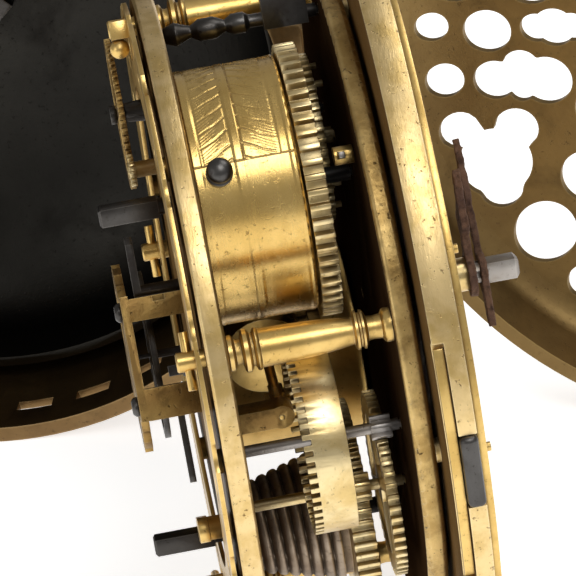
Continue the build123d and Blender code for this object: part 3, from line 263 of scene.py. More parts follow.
def metal(name, clean, dull, dirt_and_shade_colour, rough=0.3, dirt_rough=0.6, patches=0.4, corners=1.0, patch_scale=180.0,
          speckle=0.5, edge=0.5, edge_width=0.2, edge_colour=None, stretch=(1.0, 1.0, 1.0), fineness=900.0,
          marks=0.03, metallic=1.0, shaded_flats=0.0):
    """Old metal. Lengths are in millimetres, and marks is the depth of the filing marks.

    The last argument is how far the faces square to the arbors are painted dark and matt, as painted shade.
    """
    finish = bpy.data.materials.new(name)
    finish.use_nodes = True
    tree = finish.node_tree
    shader = tree.nodes["Principled BSDF"]
    shader.inputs["Metallic"].default_value = metallic
    place = tree.nodes.new("ShaderNodeTexCoord").outputs["Object"]
    dirt_and_shade_mask = tree.nodes.new("ShaderNodeGroup")
    dirt_and_shade_mask.node_tree = dirt_and_corner_shade
    for label, value in (("Scale", patch_scale), ("Patches", patches), ("Corners", corners)):
        dirt_and_shade_mask.inputs[label].default_value = value
    worn_edge_highlight = tree.nodes.new("ShaderNodeGroup")
    worn_edge_highlight.node_tree = wear_and_highlight
    worn_edge_highlight.inputs["Width"].default_value = edge_width * MM
    filed = tree.nodes.new("ShaderNodeGroup")
    filed.node_tree = filing
    filed.inputs["Stretch"].default_value = stretch
    filed.inputs["Fineness"].default_value = fineness
    cloud = step_node(tree, noise_node(tree, place, patch_scale * 0.4, 5.0, 0.6, 0.3), 0.38, 0.66)
    colour = colour_mix(tree, cloud, clean, dull)
    colour = colour_mix(tree, math_node(tree, "MULTIPLY", filed.outputs["Speckle"], speckle, True), colour,
                        dirt_and_shade_colour)
    # Painted shade: the dark colour goes into corners and hollows as well as onto the dirt patches.
    colour = colour_mix(tree, dirt_and_shade_mask.outputs["Mask"], colour, dirt_and_shade_colour)
    # Painted shade: faces square to the arbors take the dark colour and lose their metal shine.
    if shaded_flats:
        flat = tree.nodes.new("ShaderNodeSeparateXYZ")
        tree.links.new(tree.nodes.new("ShaderNodeNewGeometry").outputs["Normal"], flat.inputs[0])
        flat = step_node(tree, math_node(tree, "ABSOLUTE", flat.outputs["X"], 0.0), 0.90, 0.97)
        flat = math_node(tree, "MULTIPLY", flat, shaded_flats, True)
        colour = colour_mix(tree, flat, colour, dirt_and_shade_colour)
        matt = math_node(tree, "SUBTRACT", 1.0, flat, True)
        tree.links.new(matt, shader.inputs["Metallic"])
        tree.links.new(math_node(tree, "MULTIPLY", matt, 0.5), shader.inputs["Specular IOR Level"])
    # Painted highlight: edges are mixed towards the edge colour, which for the brasses is cream, paler than
    # the clean metal.
    shine = math_node(tree, "MULTIPLY", worn_edge_highlight.outputs["Edge"], edge, True)
    colour = colour_mix(tree, shine, colour, edge_colour or clean)
    tree.links.new(colour, shader.inputs["Base Color"])
    roughness = math_node(tree, "MULTIPLY_ADD", dirt_and_shade_mask.outputs["Mask"], dirt_rough - rough, True)
    tree.nodes[-1].inputs[2].default_value = rough
    roughness = math_node(tree, "ADD", roughness,
                          math_node(tree, "MULTIPLY", filed.outputs["Height"], 0.12), True)
    tree.links.new(roughness, shader.inputs["Roughness"])
    bump = tree.nodes.new("ShaderNodeBump")
    bump.inputs["Distance"].default_value = marks * MM
    bump.inputs["Strength"].default_value = 0.8
    height = math_node(tree, "SUBTRACT", filed.outputs["Height"],
                       math_node(tree, "MULTIPLY", filed.outputs["Speckle"], 0.5))
    tree.links.new(height, bump.inputs["Height"])
    tree.links.new(bump.outputs["Normal"], shader.inputs["Normal"])
    return finish


# cream is the pale edge colour, a painted highlight. brown and umber are dirt colours that also paint shade
# into corners and onto the faces square to the arbors.
cream = (0.93, 0.80, 0.50)
gold = (0.76, 0.52, 0.18)
old_gold = (0.60, 0.39, 0.12)
brown = (0.10, 0.05, 0.015)
umber = (0.035, 0.018, 0.008)

gilt = metal("gilt brass", gold, old_gold, brown, rough=0.26, patches=0.12, patch_scale=420,
             edge_colour=cream, shaded_flats=0.35)
plate_brass = metal("gilt plates", (0.78, 0.58, 0.28), (0.62, 0.43, 0.16), brown, rough=0.30, patches=0.10,
                    patch_scale=520, speckle=0.8,
                    edge=0.7, edge_width=0.35,
                    edge_colour=cream, stretch=(1.0, 0.25, 0.25), fineness=1300, marks=0.07, shaded_flats=0.97)
hammered = metal("hammered brass", (0.66, 0.46, 0.18), (0.42, 0.27, 0.09), umber, rough=0.34, patches=0.35,
                 patch_scale=420,
                 speckle=0.8, edge=0.8, edge_width=0.5, edge_colour=cream, fineness=700, marks=0.12,
                 shaded_flats=1.0)
wheel_brass = metal("wheel brass", (0.82, 0.66, 0.36), (0.66, 0.48, 0.20), umber, rough=0.24, patches=0.15,
                    patch_scale=420, edge=0.9,
                    edge_width=0.12, edge_colour=cream, stretch=(0.3, 1.0, 1.0), fineness=1500, marks=0.02)
barrel_brass = metal("barrel brass", gold, (0.66, 0.43, 0.13), brown, rough=0.20, patches=0.08,
                     patch_scale=380,
                     corners=1.6, edge=0.6, edge_width=0.15, edge_colour=cream, stretch=(1.0, 0.2, 0.2),
                     fineness=1200)
case_brass = metal("case brass", (0.30, 0.19, 0.08), (0.20, 0.12, 0.05), (0.02, 0.015, 0.01), rough=0.32,
                   patches=0.5, patch_scale=60, edge=0.5, edge_width=0.6, edge_colour=(0.6, 0.42, 0.2),
                   marks=0.06)
cover_brass = metal("cover brass", (0.27, 0.18, 0.07), (0.18, 0.115, 0.045), (0.07, 0.045, 0.02), rough=0.42,
                    patches=0.4, patch_scale=90, edge=0.4, edge_width=0.4, edge_colour=(0.5, 0.37, 0.16),
                    marks=0.05)
dark_steel = metal("dark steel", (0.10, 0.095, 0.09), (0.06, 0.055, 0.05), (0.02, 0.012, 0.008), rough=0.28,
                   patches=0.4, edge=0.6, edge_colour=(0.35, 0.33, 0.30), marks=0.03)
bright_steel = metal("bright steel", (0.50, 0.47, 0.44), (0.34, 0.31, 0.28), (0.07, 0.045, 0.03), rough=0.30,
                     patches=0.35, edge=0.5, edge_colour=(0.75, 0.72, 0.68), stretch=(0.2, 1.0, 1.0),
                     marks=0.03)
rusty_iron = metal("rusty iron", (0.16, 0.085, 0.05), (0.09, 0.045, 0.03), (0.035, 0.018, 0.012), rough=0.62,
                   dirt_rough=0.85, patches=0.7, patch_scale=700, edge=0.35, edge_colour=(0.30, 0.20, 0.15),
                   fineness=1600, marks=0.25, metallic=0.55)
bell_bronze = metal("bell metal", (0.030, 0.028, 0.024), (0.018, 0.017, 0.015), (0.008, 0.007, 0.006),
                    rough=0.34,
                    patches=0.5, patch_scale=40, edge=0.3, edge_colour=(0.12, 0.10, 0.07), marks=0.05)
old_brass = metal("old brass", (0.46, 0.30, 0.10), (0.30, 0.18, 0.06), umber, rough=0.34, patches=0.45,
                  patch_scale=420,
                  speckle=0.8, edge=0.6, edge_colour=(0.72, 0.55, 0.26), marks=0.08, shaded_flats=0.6)
gut_brown = metal("gut line", (0.40, 0.32, 0.24), (0.27, 0.20, 0.14), (0.06, 0.04, 0.025), rough=0.42,
                  patches=0.5,
                  patch_scale=400, corners=2.0, edge=0.4, edge_colour=(0.62, 0.53, 0.42), marks=0.05)
print("finishes:", len(bpy.data.materials))

# %% [markdown]
# The frame's pieces have the right shape, but their edges are knife sharp, and no filed and polished edge
# is. A real edge catches a thin line of light, so each piece is copied, its loose triangles are merged back
# into whole faces, and a small bevel rounds every corner. The copy stands for the piece it was made from.

# %% Helpers that finish a piece
finished = []


def finish_piece(name, mesh, finish, body, nodes, smooth=38.0):
    """Puts a mesh in the scene with its finish, its body and the nodes it stands for."""
    mesh.name = name
    mesh.materials.clear()
    mesh.materials.append(finish)
    mesh.polygons.foreach_set("use_smooth", [True] * len(mesh.polygons))
    mesh.set_sharp_from_angle(angle=radians(smooth))
    piece = bpy.data.objects.new(name, mesh)
    bpy.context.scene.collection.objects.link(piece)
    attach(piece, body)
    if nodes:
        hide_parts(*nodes)
    finished.append(name)
    return piece


def applied(mesh, *modifiers):
    """Mesh with modifiers applied. Each modifier is a type and a dictionary of its settings."""
    carrier = bpy.data.objects.new("carrier", mesh)
    bpy.context.scene.collection.objects.link(carrier)
    for kind, settings in modifiers:
        modifier = carrier.modifiers.new(kind.lower(), kind)
        for label, value in settings.items():
            setattr(modifier, label, value)
    result = bpy.data.meshes.new_from_object(carrier.evaluated_get(bpy.context.evaluated_depsgraph_get()))
    bpy.data.objects.remove(carrier)
    return result


def bevelled(mesh, width, segments=2):
    """Mesh with its corners rounded, width in millimetres."""
    return applied(mesh, ("BEVEL", {"width": width * MM, "segments": segments, "limit_method": "ANGLE",
                                    "angle_limit": radians(32), "use_clamp_overlap": True}))


def whole_faces(node):
    """Copy of a node's mesh with its triangles merged into flat faces."""
    mesh = frame["nodes"][node].data.copy()
    for label in [item.name
                  for item in mesh.attributes if item.name in ("custom_normal", "sharp_edge", "sharp_face")]:
        mesh.attributes.remove(mesh.attributes[label])
    work = bmesh.new()
    work.from_mesh(mesh)
    bmesh.ops.remove_doubles(work, verts=work.verts, dist=0.002 * MM)
    bmesh.ops.dissolve_limit(work, angle_limit=radians(0.6), verts=work.verts, edges=work.edges)
    work.to_mesh(mesh)
    work.free()
    return mesh


def softened(node, finish, body, width=0.12, smooth=38.0):
    """Piece with softened edges that stands for a node."""
    return finish_piece(f"{node}_finished", bevelled(whole_faces(node), width), finish, body, [node],
                        smooth)


def lathe(outline, steps=96, closed=True):
    """Body turned about the z axis from (radius, height) points, in its own millimetres."""
    work = bmesh.new()
    rings = []
    for radius, height in outline:
        if radius < 1e-6:
            rings.append([work.verts.new((0, 0, height))])
        else:
            rings.append([work.verts.new((radius * cos(2 * pi * i / steps),
                                          radius * sin(2 * pi * i / steps), height))
                          for i in range(steps)])
    pairs = list(zip(rings, rings[1:])) + ([(rings[-1], rings[0])] if closed else [])
    for lower, upper in pairs:
        if len(lower) == 1 and len(upper) == 1:
            continue
        for i in range(steps):
            j = (i + 1) % steps
            corners = [lower[i % len(lower)], lower[j % len(lower)], upper[j % len(upper)],
                       upper[i % len(upper)]]
            work.faces.new(list(dict.fromkeys(corners)))
    bmesh.ops.recalc_face_normals(work, faces=work.faces)
    return work


def to_mesh(work, place=None):
    """Mesh from a bmesh, placed in the clock's frame."""
    if place is not None:
        work.transform(place)
    mesh = bpy.data.meshes.new("work")
    work.to_mesh(mesh)
    work.free()
    return mesh

# %% [markdown]
# Most of the movement keeps the frame's shape and only gets softened edges: plates, ring, wheels, arbors and
# the small steel. A table says which metal each piece is made of and how far its corners have worn.

# %% Pieces that keep their shape
movement_pieces = {
    "back_plate": (plate_brass, 0.25), "pillar_plate": (hammered, 0.2), "dial_ring": (plate_brass, 0.18),
    "dial": (gilt, 0.12), "overlay_sheet": (gilt, 0.12), "potence": (old_brass, 0.15),
    "counter_potence": (old_brass, 0.15),
    "balance_cock": (old_brass, 0.3), "knob_bracket": (gilt, 0.3), "square_cock": (gilt, 0.2),
    "plate_stud": (gilt, 0.12)}
movement_steel = {
    "taper_pins": (gilt, 0.1), "latch_spring": (gilt, 0.1), "count_stud": (dark_steel, 0.1),
    "cock_screws": (dark_steel, 0.1), "index": (dark_steel, 0.08), "detent": (dark_steel, 0.1),
    "stud_wedge": (bright_steel, 0.08), "minute_stud": (dark_steel, 0.1), "going_arbor": (dark_steel, 0.1)}
for node, (finish, width) in movement_pieces.items():
    softened(node, finish, "movement", width)
for node, (finish, width) in movement_steel.items():
    softened(node, finish, "movement", width)
print("softened on the movement:", len(finished))

# %% Wheels, arbors and the case's own fittings
moving_pieces = {
    "strike_great_wheel": ("strike_drive", wheel_brass, 0.14, "gilt_brass"),
    "strike_arbor": ("strike_drive", dark_steel, 0.18, "dark_steel"),
    "pin_wheel": ("pin_wheel", wheel_brass, 0.08, "gilt_brass"),
    "fly": ("fly", dark_steel, 0.06, "dark_steel"),
    "count_wheel": ("count_wheel", old_brass, 0.06, "gilt_brass"),
    "fusee_great_wheel": ("fusee_drive", wheel_brass, 0.1, "gilt_brass"),
    "fusee_arbor": ("fusee_drive", dark_steel, 0.18, "dark_steel"),
    "second_wheel": ("second", wheel_brass, 0.08, "gilt_brass"),
    "contrate_wheel": ("contrate", wheel_brass, 0.1, "gilt_brass"),
    "contrate_arbor": ("contrate", bright_steel, 0.06, "bright_steel"),
    "crown_wheel": ("crown", gilt, 0.06, "gilt_brass"),
    "balance": ("balance", dark_steel, 0.08, "dark_steel"),
    "hammer": ("hammer", dark_steel, 0.15, "dark_steel"),
    "setting_arbor": ("setting", bright_steel, 0.3, "bright_steel"),
    "minute_wheel": ("minute_wheel", wheel_brass, 0.05, "gilt_brass"),
    "hour_wheel": ("hour", wheel_brass, 0.05, "gilt_brass"),
    "centre_disc": ("hour", bright_steel, 0.2, "bright_steel"),
    "hinge_pin": ("case", dark_steel, 0.15, "dark_steel"),
    "bell_stud": ("case", case_brass, 0.15, "case_brass"),
    "bell_nut": ("case", dark_steel, 0.25, "dark_steel"), "pendant": ("case", case_brass, 0.2, "case_brass"),
    "bow": ("bow", case_brass, 0.1, "case_brass"), "bell": ("case", bell_bronze, 0.2, "bell_metal"),
    "case_bowl": ("case", case_brass, 0.25, "case_brass")}
for node, (body, finish, width, slot) in moving_pieces.items():
    softened(node, finish, body, width)
print("softened in all:", len(finished))

# %% [markdown]
# The striking barrel stands on the back plate like a drum. Its wall is turned with plain rings and carries
# two bands of slanting leaves, cut with a graver only where the owner could see them. A grid round the wall
# is lowered by a formula: a long stroke for each leaf, fine veins beside it, and a line along each border.
# Real cuts catch the light from any side, which a bump in the finish doesn't.

# %% Engraved barrel
strike_at = (22.0, -16.0)
barrel_back, barrel_front = -10.5, 2.9
barrel_radius = 16.8
barrel_bore = 1.16
leaf_pitch = 2.0
engraved_from, engraved_to = -193.0, -11.7      # degrees round the barrel, from the p axis
bands = ((-9.1, -5.15, 1.0), (-3.75, 0.8, -1.0))
border_lines = (-9.1, -5.15, -3.75, 0.8)
cut_depth = 0.16
plain_rings = ((-20.0, -9.3), (-5.0, -3.9), (2.0, 20.0))
ring_rise = 0.06


def notch(distance, half_width):
    """Depth of a V cut, 1 in its middle and 0 past its half width."""
    return max(0.0, 1.0 - abs(distance) / half_width)


def engraving(degree, height):
    """Depth of the graver's cuts on the barrel's wall."""
    if not engraved_from < degree < engraved_to:
        return 0.0
    arc = radians(degree) * barrel_radius
    depth = 0.8 * max(notch(height - line, 0.13) for line in border_lines)
    ends = min(degree - engraved_from, engraved_to - degree) * radians(1) * barrel_radius
    depth = max(depth, 0.8 * notch(ends, 0.2))
    for low, high, slant in bands:
        if not low < height < high:
            continue
        across_band = (height - low) / (high - low) if slant > 0 else (high - height) / (high - low)
        stem = (arc + 1.7 * across_band + 0.5 * across_band ** 2) / leaf_pitch
        leaf, share = floor(stem), stem - floor(stem)
        waver = 0.04 * sin(2.3 * leaf) + 0.03 * sin(9 * across_band + leaf)
        depth = max(depth, notch(share - 0.12 - waver, 0.10) * (0.35 + 0.65 * across_band))
        vein = (stem * 5.0 + 1.4 * across_band) % 1.0
        if share > 0.3 and across_band < 0.75 - 0.4 * (share - 0.3):
            depth = max(depth, 0.42 * notch(vein - 0.5, 0.26))
    return depth * cut_depth


def grid_shell(rows, steps, point):
    """Closed body from rows of points round an axis, with the last row joined to the first."""
    work = bmesh.new()
    rings = [[work.verts.new(point(row, 360 * i / steps)) for i in range(steps)] for row in rows]
    for lower, upper in zip(rings, rings[1:] + rings[:1]):
        for i in range(steps):
            j = (i + 1) % steps
            work.faces.new((lower[i], lower[j], upper[j], upper[i]))
    bmesh.ops.recalc_face_normals(work, faces=work.faces)
    return work


row_step = 0.16
row_count = int((barrel_front - barrel_back) / row_step)
wall_rows = [round(barrel_back + 0.01 + i * row_step, 3) for i in range(row_count)]
outline = [("bore", barrel_bore, barrel_back), ("edge", barrel_radius - 0.15, barrel_back)]
outline += [("wall", barrel_radius, height) for height in wall_rows[1:]]
outline += [("edge", barrel_radius - 0.2, barrel_front), ("cap", barrel_radius - 1.3, barrel_front),
            ("cap", barrel_radius - 1.5, barrel_front - 0.35),
            ("cap", barrel_bore + 3.2, barrel_front - 0.35),
            ("cap", barrel_bore + 3.0, barrel_front), ("bore", barrel_bore, barrel_front)]


def barrel_point(row, degree):
    """Point of the barrel, with the rings raised and the cuts lowered."""
    kind, radius, height = row
    turn = degree % 360 - 360 if degree % 360 > 160 else degree % 360
    if kind == "wall":
        ringed = any(low < height < high for low, high in plain_rings)
        radius += (0.0 if ringed else -ring_rise) - engraving(turn, height)
    return radius * cos(radians(degree)), radius * sin(radians(degree)), height


barrel_steps = 1100
drum = grid_shell(outline, barrel_steps, barrel_point)
barrel_place = train @ Matrix.Translation((*strike_at, 0))
finish_piece("barrel_drum", to_mesh(drum, barrel_place), barrel_brass, "movement",
             ["strike_barrel"], 50)
print("barrel faces:", len(outline) * barrel_steps)

# %% [markdown]
# The fusee is a cone with a groove cut round it like a screw, so that the weakening spring pulls on a growing
# radius. The groove's height moves on by one pitch each turn. The turns are brown-grey, as in the photograph.

# %% Fusee with its spiral groove
fusee_at = (-1.0, 28.5)
fusee_back, fusee_front, wheel_back = -9.6, 1.4, 2.4
fusee_small, fusee_large = 6.3, 9.4
fusee_turns = 7
fusee_bore = 1.13
pitch = (fusee_front - fusee_back) / fusee_turns
rows_per_turn = 14


def fusee_point(row, degree):
    """Point of the fusee: its groove climbs one pitch in each turn."""
    kind, radius, height = row
    if kind == "groove":
        share = (height - fusee_back) / (fusee_front - fusee_back)
        radius = fusee_small + (fusee_large - fusee_small) * share
        phase = ((height - fusee_back) / pitch - degree / 360) % 1.0
        radius -= 0.55 * (1 - abs(sin(pi * phase))) ** 1.6
    return radius * cos(radians(degree)), radius * sin(radians(degree)), height


count = fusee_turns * rows_per_turn
outline = [("bore", fusee_bore, fusee_back), ("end", fusee_small - 1.0, fusee_back)]
outline += [("groove", 0, fusee_back + (fusee_front - fusee_back) * i / count) for i in range(1, count)]
outline += [("end", fusee_large - 1.0, fusee_front), ("end", fusee_large - 1.0, wheel_back),
            ("bore", fusee_bore, wheel_back)]
cone = grid_shell(outline, 120, fusee_point)
fusee_place = train @ Matrix.Translation((*fusee_at, 0))
finish_piece("fusee_cone", to_mesh(cone, fusee_place), gut_brown, "fusee_drive", ["fusee"], 60)

# %% [markdown]
# Four turned pillars hold the plates apart. Each is a slim baluster between collars. The points of the
# outline are the ones a turner would mark, and the long belly between them follows a smooth curve.

# %% Pillars
pillar_circle = 41.0
pillar_angles = (6, 118, 196, 276)
plate_inner = 10.5
tenon_radius = 1.3
belly_back, belly_front = -6.3, 5.4
belly_steps = 16
belly = []
for i in range(belly_steps + 1):
    share = i / belly_steps
    belly.append((2.62 - 0.95 * share ** 1.5 - 0.12 * cos(pi * share * 1.3),
                  belly_back + (belly_front - belly_back) * share))
outline = [(0, -17.0), (1.1, -17.0), (tenon_radius, -16.8), (tenon_radius, -plate_inner),
           (2.1, -plate_inner),
           (2.3, -10.3), (2.3, -9.8), (2.05, -9.55), (1.65, -9.4), (1.55, -9.0), (1.62, -8.7), (2.5, -8.5),
           (2.78, -8.3), (2.78, -7.8), (2.5, -7.55), (2.15, -7.4), (2.1, -7.15), (2.6, -6.95), (2.78, -6.75),
           (2.7, -6.5), *belly, (1.75, 5.6), (2.3, 5.72), (2.52, 5.9), (2.52, 6.2), (2.2, 6.4), (2.2, 6.6),
           (2.5, 6.75), (2.5, 7.0), (2.1, 7.25), (1.6, 7.45), (1.5, 8.2), (1.6, 9.2), (2.0, 9.45),
           (2.18, 9.7),
           (2.18, plate_inner), (tenon_radius, plate_inner), (tenon_radius, 13.25), (0, 13.25)]
turned_pillars = bmesh.new()
for angle in pillar_angles:
    one = lathe(outline, 64, closed=False)
    middle = (pillar_circle * cos(radians(angle)), pillar_circle * sin(radians(angle)), 0)
    one_mesh = to_mesh(one, train @ Matrix.Translation(middle))
    turned_pillars.from_mesh(one_mesh)
    bpy.data.meshes.remove(one_mesh)
finish_piece("pillars_turned", to_mesh(turned_pillars), gilt, "movement", ["pillars"], 40)

# %% [markdown]
# A black screw with a ball-shaped head holds the barrel near the back plate. It is turned like the pillars,
# about an axis that stands square on the barrel's wall.

# %% Barrel screw
screw_way, screw_height = radians(-8.0), -7.2
screw_out = Vector((cos(screw_way), sin(screw_way), 0))
screw_foot = Vector((*strike_at, screw_height)) + screw_out * (barrel_radius - 0.25)
screw_place = train @ Matrix.Translation(screw_foot) @ screw_out.to_track_quat("Z", "X").to_matrix().to_4x4()
ball = [(0, 0.02), (1.75, 0.02), (1.75, 0.5), (1.55, 0.62), (1.12, 0.72), (1.08, 0.95)]
ball += [(1.68 * cos(radians(turn)), 2.05 + 1.2 * sin(radians(turn)))
         for turn in range(-50, 90, 10)] + [(0, 3.25)]
head = lathe(ball, 48, closed=False)
finish_piece("barrel_screw_head", to_mesh(head, screw_place), dark_steel, "movement",
             ["barrel_screw"], 40)

# %% [markdown]
# The going barrel is a plain closed drum that nearly fills the room between the plates, and the mainspring
# inside it pulls the fusee. Its caps are let in, with a narrow ring left standing round each.

# %% Going barrel
going_at = (-26.0, 6.0)
going_radius, going_bore = 14.0, 1.16
going_back, going_front = -10.1, 9.9
outline = [(going_bore, going_back), (going_radius - 1.3, going_back), (going_radius - 0.2, going_back),
           (going_radius, going_back + 0.2), (going_radius, going_back + 1.0),
           (going_radius - 0.12, going_back + 1.15),
           (going_radius - 0.12, going_front - 1.15), (going_radius, going_front - 1.0),
           (going_radius, going_front - 0.2),
           (going_radius - 0.2, going_front), (going_radius - 1.1, going_front),
           (going_radius - 1.2, going_front - 0.3),
           (going_bore + 2.4, going_front - 0.3), (going_bore + 2.3, going_front), (going_bore, going_front)]
finish_piece("going_drum", to_mesh(lathe(outline, 160), train @ Matrix.Translation((*going_at, 0))), gilt,
             "going_barrel", ["going_barrel"], 40)

# %% [markdown]
# The hands are hand-forged iron and three centuries of rust have swollen and pitted them. A voxel remesh turns
# the flat plates into one fine even skin, and each point then moves in or out by a noise of two sizes.

# %% Rusty hands and the sprung latch
rust_grain, rust_depth = 0.16, 0.11


def rusted(node, body):
    """Hand with swollen, pitted faces that stands for a node."""
    mesh = applied(whole_faces(node), ("REMESH", {"mode": "VOXEL", "voxel_size": rust_grain * MM}))
    for point, normal in [(vertex, vertex.normal.copy()) for vertex in mesh.vertices]:
        swell = noise.noise(point.co * 900) + 0.6 * noise.noise(point.co * 2600)
        point.co += normal * (swell * rust_depth * MM)
    return finish_piece(f"{node}_rusted", mesh, rusty_iron, body, [node], 60)


rusted("minute_hand", "setting")
rusted("hour_hand", "hour")
softened("latch_bolt", dark_steel, "latch", 0.7, 60)

# %% [markdown]
# The cover's dome is sawn through in a lacework of lobed openings, so that the bell can be heard. Each opening
# is the outline round a few touching circles: the circles' arcs are its lobes, and the points where they
# meet are the cusps. All circles start small and grow in turn until the metal between them is one thin strut,
# which is how a good piercer shares out a dome. The pattern repeats six times.

# %% Lobed openings of the cover
strut = 1.3
lace_radius = 48.9
growth_passes, growth_step = 60, 1.03
first_share, most_share = 0.5, 1.45       # smallest and largest a circle may be, of the radius drawn
repeats = 6
petal = [                                         # one repeat: circles (x, y, radius) of each opening, in mm
    [(3.0, -38.5, 4.5)],
    [(3.2, -31.3, 2.1), (3.2, -28.6, 2.9), (3.2, -25.9, 2.1)],
    [(-5.2, -38.2, 3.2), (-3.2, -34.2, 3.4), (-5.6, -30.6, 3.4), (-7.0, -34.4, 2.6)],
    [(-13.0, -44.0, 4.4), (-13.4, -35.8, 4.8), (-18.6, -39.2, 4.6), (-22.6, -38.6, 2.2)],
    [(-10.5, -22.0, 5.2)],
    [(-30.0, -32.4, 5.2)],
    [(11.4, -31.4, 4.0)],
    [(4.5, -46.3, 2.2)], [(-4.6, -45.4, 2.8)],
    [(-2.2, -22.0, 2.4)], [(5.0, -20.6, 1.8)],
    [(0.0, -12.8, 5.4)]]
whole = [[(x * cos(turn) - y * sin(turn), x * sin(turn) + y * cos(turn), radius) for x, y, radius in opening]
         for opening in petal
         for turn in [2 * pi * i / repeats for i in range(repeats)]] + [[(0.0, 0.0, 5.6)]]
trimmed = [[[x, y, first_share * radius, most_share * radius] for x, y, radius in opening]
           for opening in whole]
for _ in range(growth_passes):
    for opening in trimmed:
        others = [circle for other in trimmed if other is not opening for circle in other]
        for circle in opening:
            x, y, radius, limit = circle
            bigger = min(radius * growth_step, limit)
            if hypot(x, y) + bigger > lace_radius:
                continue
            if all(hypot(x - a, y - b) - c - bigger > strut for a, b, c, _ in others):
                circle[2] = bigger


def lobed_outline(lobes, points=84):
    """Outline round circles that overlap, as points seen from their middle."""
    x0, y0 = (sum(lobe[i] for lobe in lobes) / len(lobes) for i in (0, 1))
    outline = []
    for i in range(points):
        turn = 2 * pi * i / points
        reach = 0.8
        for x, y, radius, limit in lobes:
            ahead = (x - x0) * cos(turn) + (y - y0) * sin(turn)
            aside = (x - x0) * sin(turn) - (y - y0) * cos(turn)
            if abs(aside) < radius:
                reach = max(reach, ahead + sqrt(radius ** 2 - aside ** 2))
        outline.append((x0 + reach * cos(turn), y0 + reach * sin(turn)))
    return outline


# %% Pierced dome and rim of the cover
wall_radius, inner_radius = 53.8, 52.6
skirt, outer_rise, inner_rise = 7.0, 12.0, 10.8
pierced_radius = 49.6
dome_rings = 26


def dome(radius, half_width, rise):
    """Height of the cover's elliptical dome at a radius."""
    return skirt + rise * sqrt(1 - (radius / half_width) ** 2)


steps_out = [pierced_radius * i / dome_rings for i in range(dome_rings + 1)]
shell = [(r, dome(r, wall_radius, outer_rise)) for r in steps_out]
shell += [(r, dome(r, inner_radius, inner_rise)) for r in reversed(steps_out)]
disc = to_mesh(lathe(shell, 144, closed=False))
saw = bmesh.new()
for lobes in trimmed:
    outline = lobed_outline(lobes)
    low = [saw.verts.new((x, y, 2.0)) for x, y in outline]
    high = [saw.verts.new((x, y, 26.0)) for x, y in outline]
    saw.faces.new(list(reversed(low)))
    saw.faces.new(high)
    for i in range(len(outline)):
        j = (i + 1) % len(outline)
        saw.faces.new((low[i], low[j], high[j], high[i]))
cutter = bpy.data.objects.new("saw", to_mesh(saw))
bpy.context.scene.collection.objects.link(cutter)
lace = applied(disc, ("BOOLEAN", {"operation": "DIFFERENCE", "solver": "EXACT", "object": cutter}))
bpy.data.objects.remove(cutter)
print("faces of the pierced dome:", len(lace.polygons))
lace.transform(cover)

plug = lathe([(0, -20.0), (pierced_radius, -20.0), (pierced_radius, 40.0), (0, 40.0)], 144, closed=False)
cutter = bpy.data.objects.new("plug", to_mesh(plug, cover))
bpy.context.scene.collection.objects.link(cutter)
rim = applied(whole_faces("cover"),
              ("BOOLEAN", {"operation": "DIFFERENCE", "solver": "EXACT", "object": cutter}))
bpy.data.objects.remove(cutter)
both = bmesh.new()
both.from_mesh(lace)
both.from_mesh(rim)
finish_piece("cover_pierced", to_mesh(both), cover_brass, "cover", ["cover"], 32)
print("openings in the cover:", len(trimmed), "faces:", len(bpy.data.meshes["cover_pierced"].polygons))

# %% [markdown]
# The dial's front is turned away, but the owner reads it, so it has minute marks and an hour bar at each hour.
# They repeat round a circle, which is what Geometry Nodes are for. One node group
# puts copies of any piece on a ring, and its inputs say how many, how far out and in which finish.

# %% Ring of copies in Geometry Nodes
ring_tree = bpy.data.node_groups.new("ring of copies", "GeometryNodeTree")
for label, kind in (("Geometry", "NodeSocketGeometry"), ("Piece", "NodeSocketObject"),
                    ("Count", "NodeSocketInt"),
                    ("Radius", "NodeSocketFloat"), ("Finish", "NodeSocketMaterial")):
    ring_tree.interface.new_socket(label, in_out="INPUT", socket_type=kind)
ring_tree.interface.new_socket("Geometry", in_out="OUTPUT", socket_type="NodeSocketGeometry")
ring_in, ring_out = ring_tree.nodes.new("NodeGroupInput"), ring_tree.nodes.new("NodeGroupOutput")
circle = ring_tree.nodes.new("GeometryNodeMeshCircle")
one_piece = ring_tree.nodes.new("GeometryNodeObjectInfo")
spread = ring_tree.nodes.new("GeometryNodeInstanceOnPoints")
where = ring_tree.nodes.new("GeometryNodeInputIndex")
share = ring_tree.nodes.new("ShaderNodeMath")
angle = ring_tree.nodes.new("ShaderNodeMath")
turned = ring_tree.nodes.new("ShaderNodeCombineXYZ")
solid = ring_tree.nodes.new("GeometryNodeRealizeInstances")
dressed = ring_tree.nodes.new("GeometryNodeSetMaterial")
share.operation, angle.operation = "DIVIDE", "MULTIPLY"
angle.inputs[1].default_value = 2 * pi
for start, end in ((ring_in.outputs["Count"], circle.inputs["Vertices"]),
                   (ring_in.outputs["Radius"], circle.inputs["Radius"]),
                   (ring_in.outputs["Piece"], one_piece.inputs["Object"]),
                   (where.outputs[0], share.inputs[0]),
                   (ring_in.outputs["Count"], share.inputs[1]), (share.outputs[0], angle.inputs[0]),
                   (angle.outputs[0], turned.inputs["Z"]), (turned.outputs[0], spread.inputs["Rotation"]),
                   (circle.outputs["Mesh"], spread.inputs["Points"]),
                   (one_piece.outputs["Geometry"], spread.inputs["Instance"]),
                   (spread.outputs["Instances"], solid.inputs[0]),
                   (solid.outputs[0], dressed.inputs["Geometry"]),
                   (ring_in.outputs["Finish"], dressed.inputs["Material"]),
                   (dressed.outputs[0], ring_out.inputs[0])):
    ring_tree.links.new(start, end)
sockets = {item.name: item.identifier for item in ring_tree.interface.items_tree if item.in_out == "INPUT"}


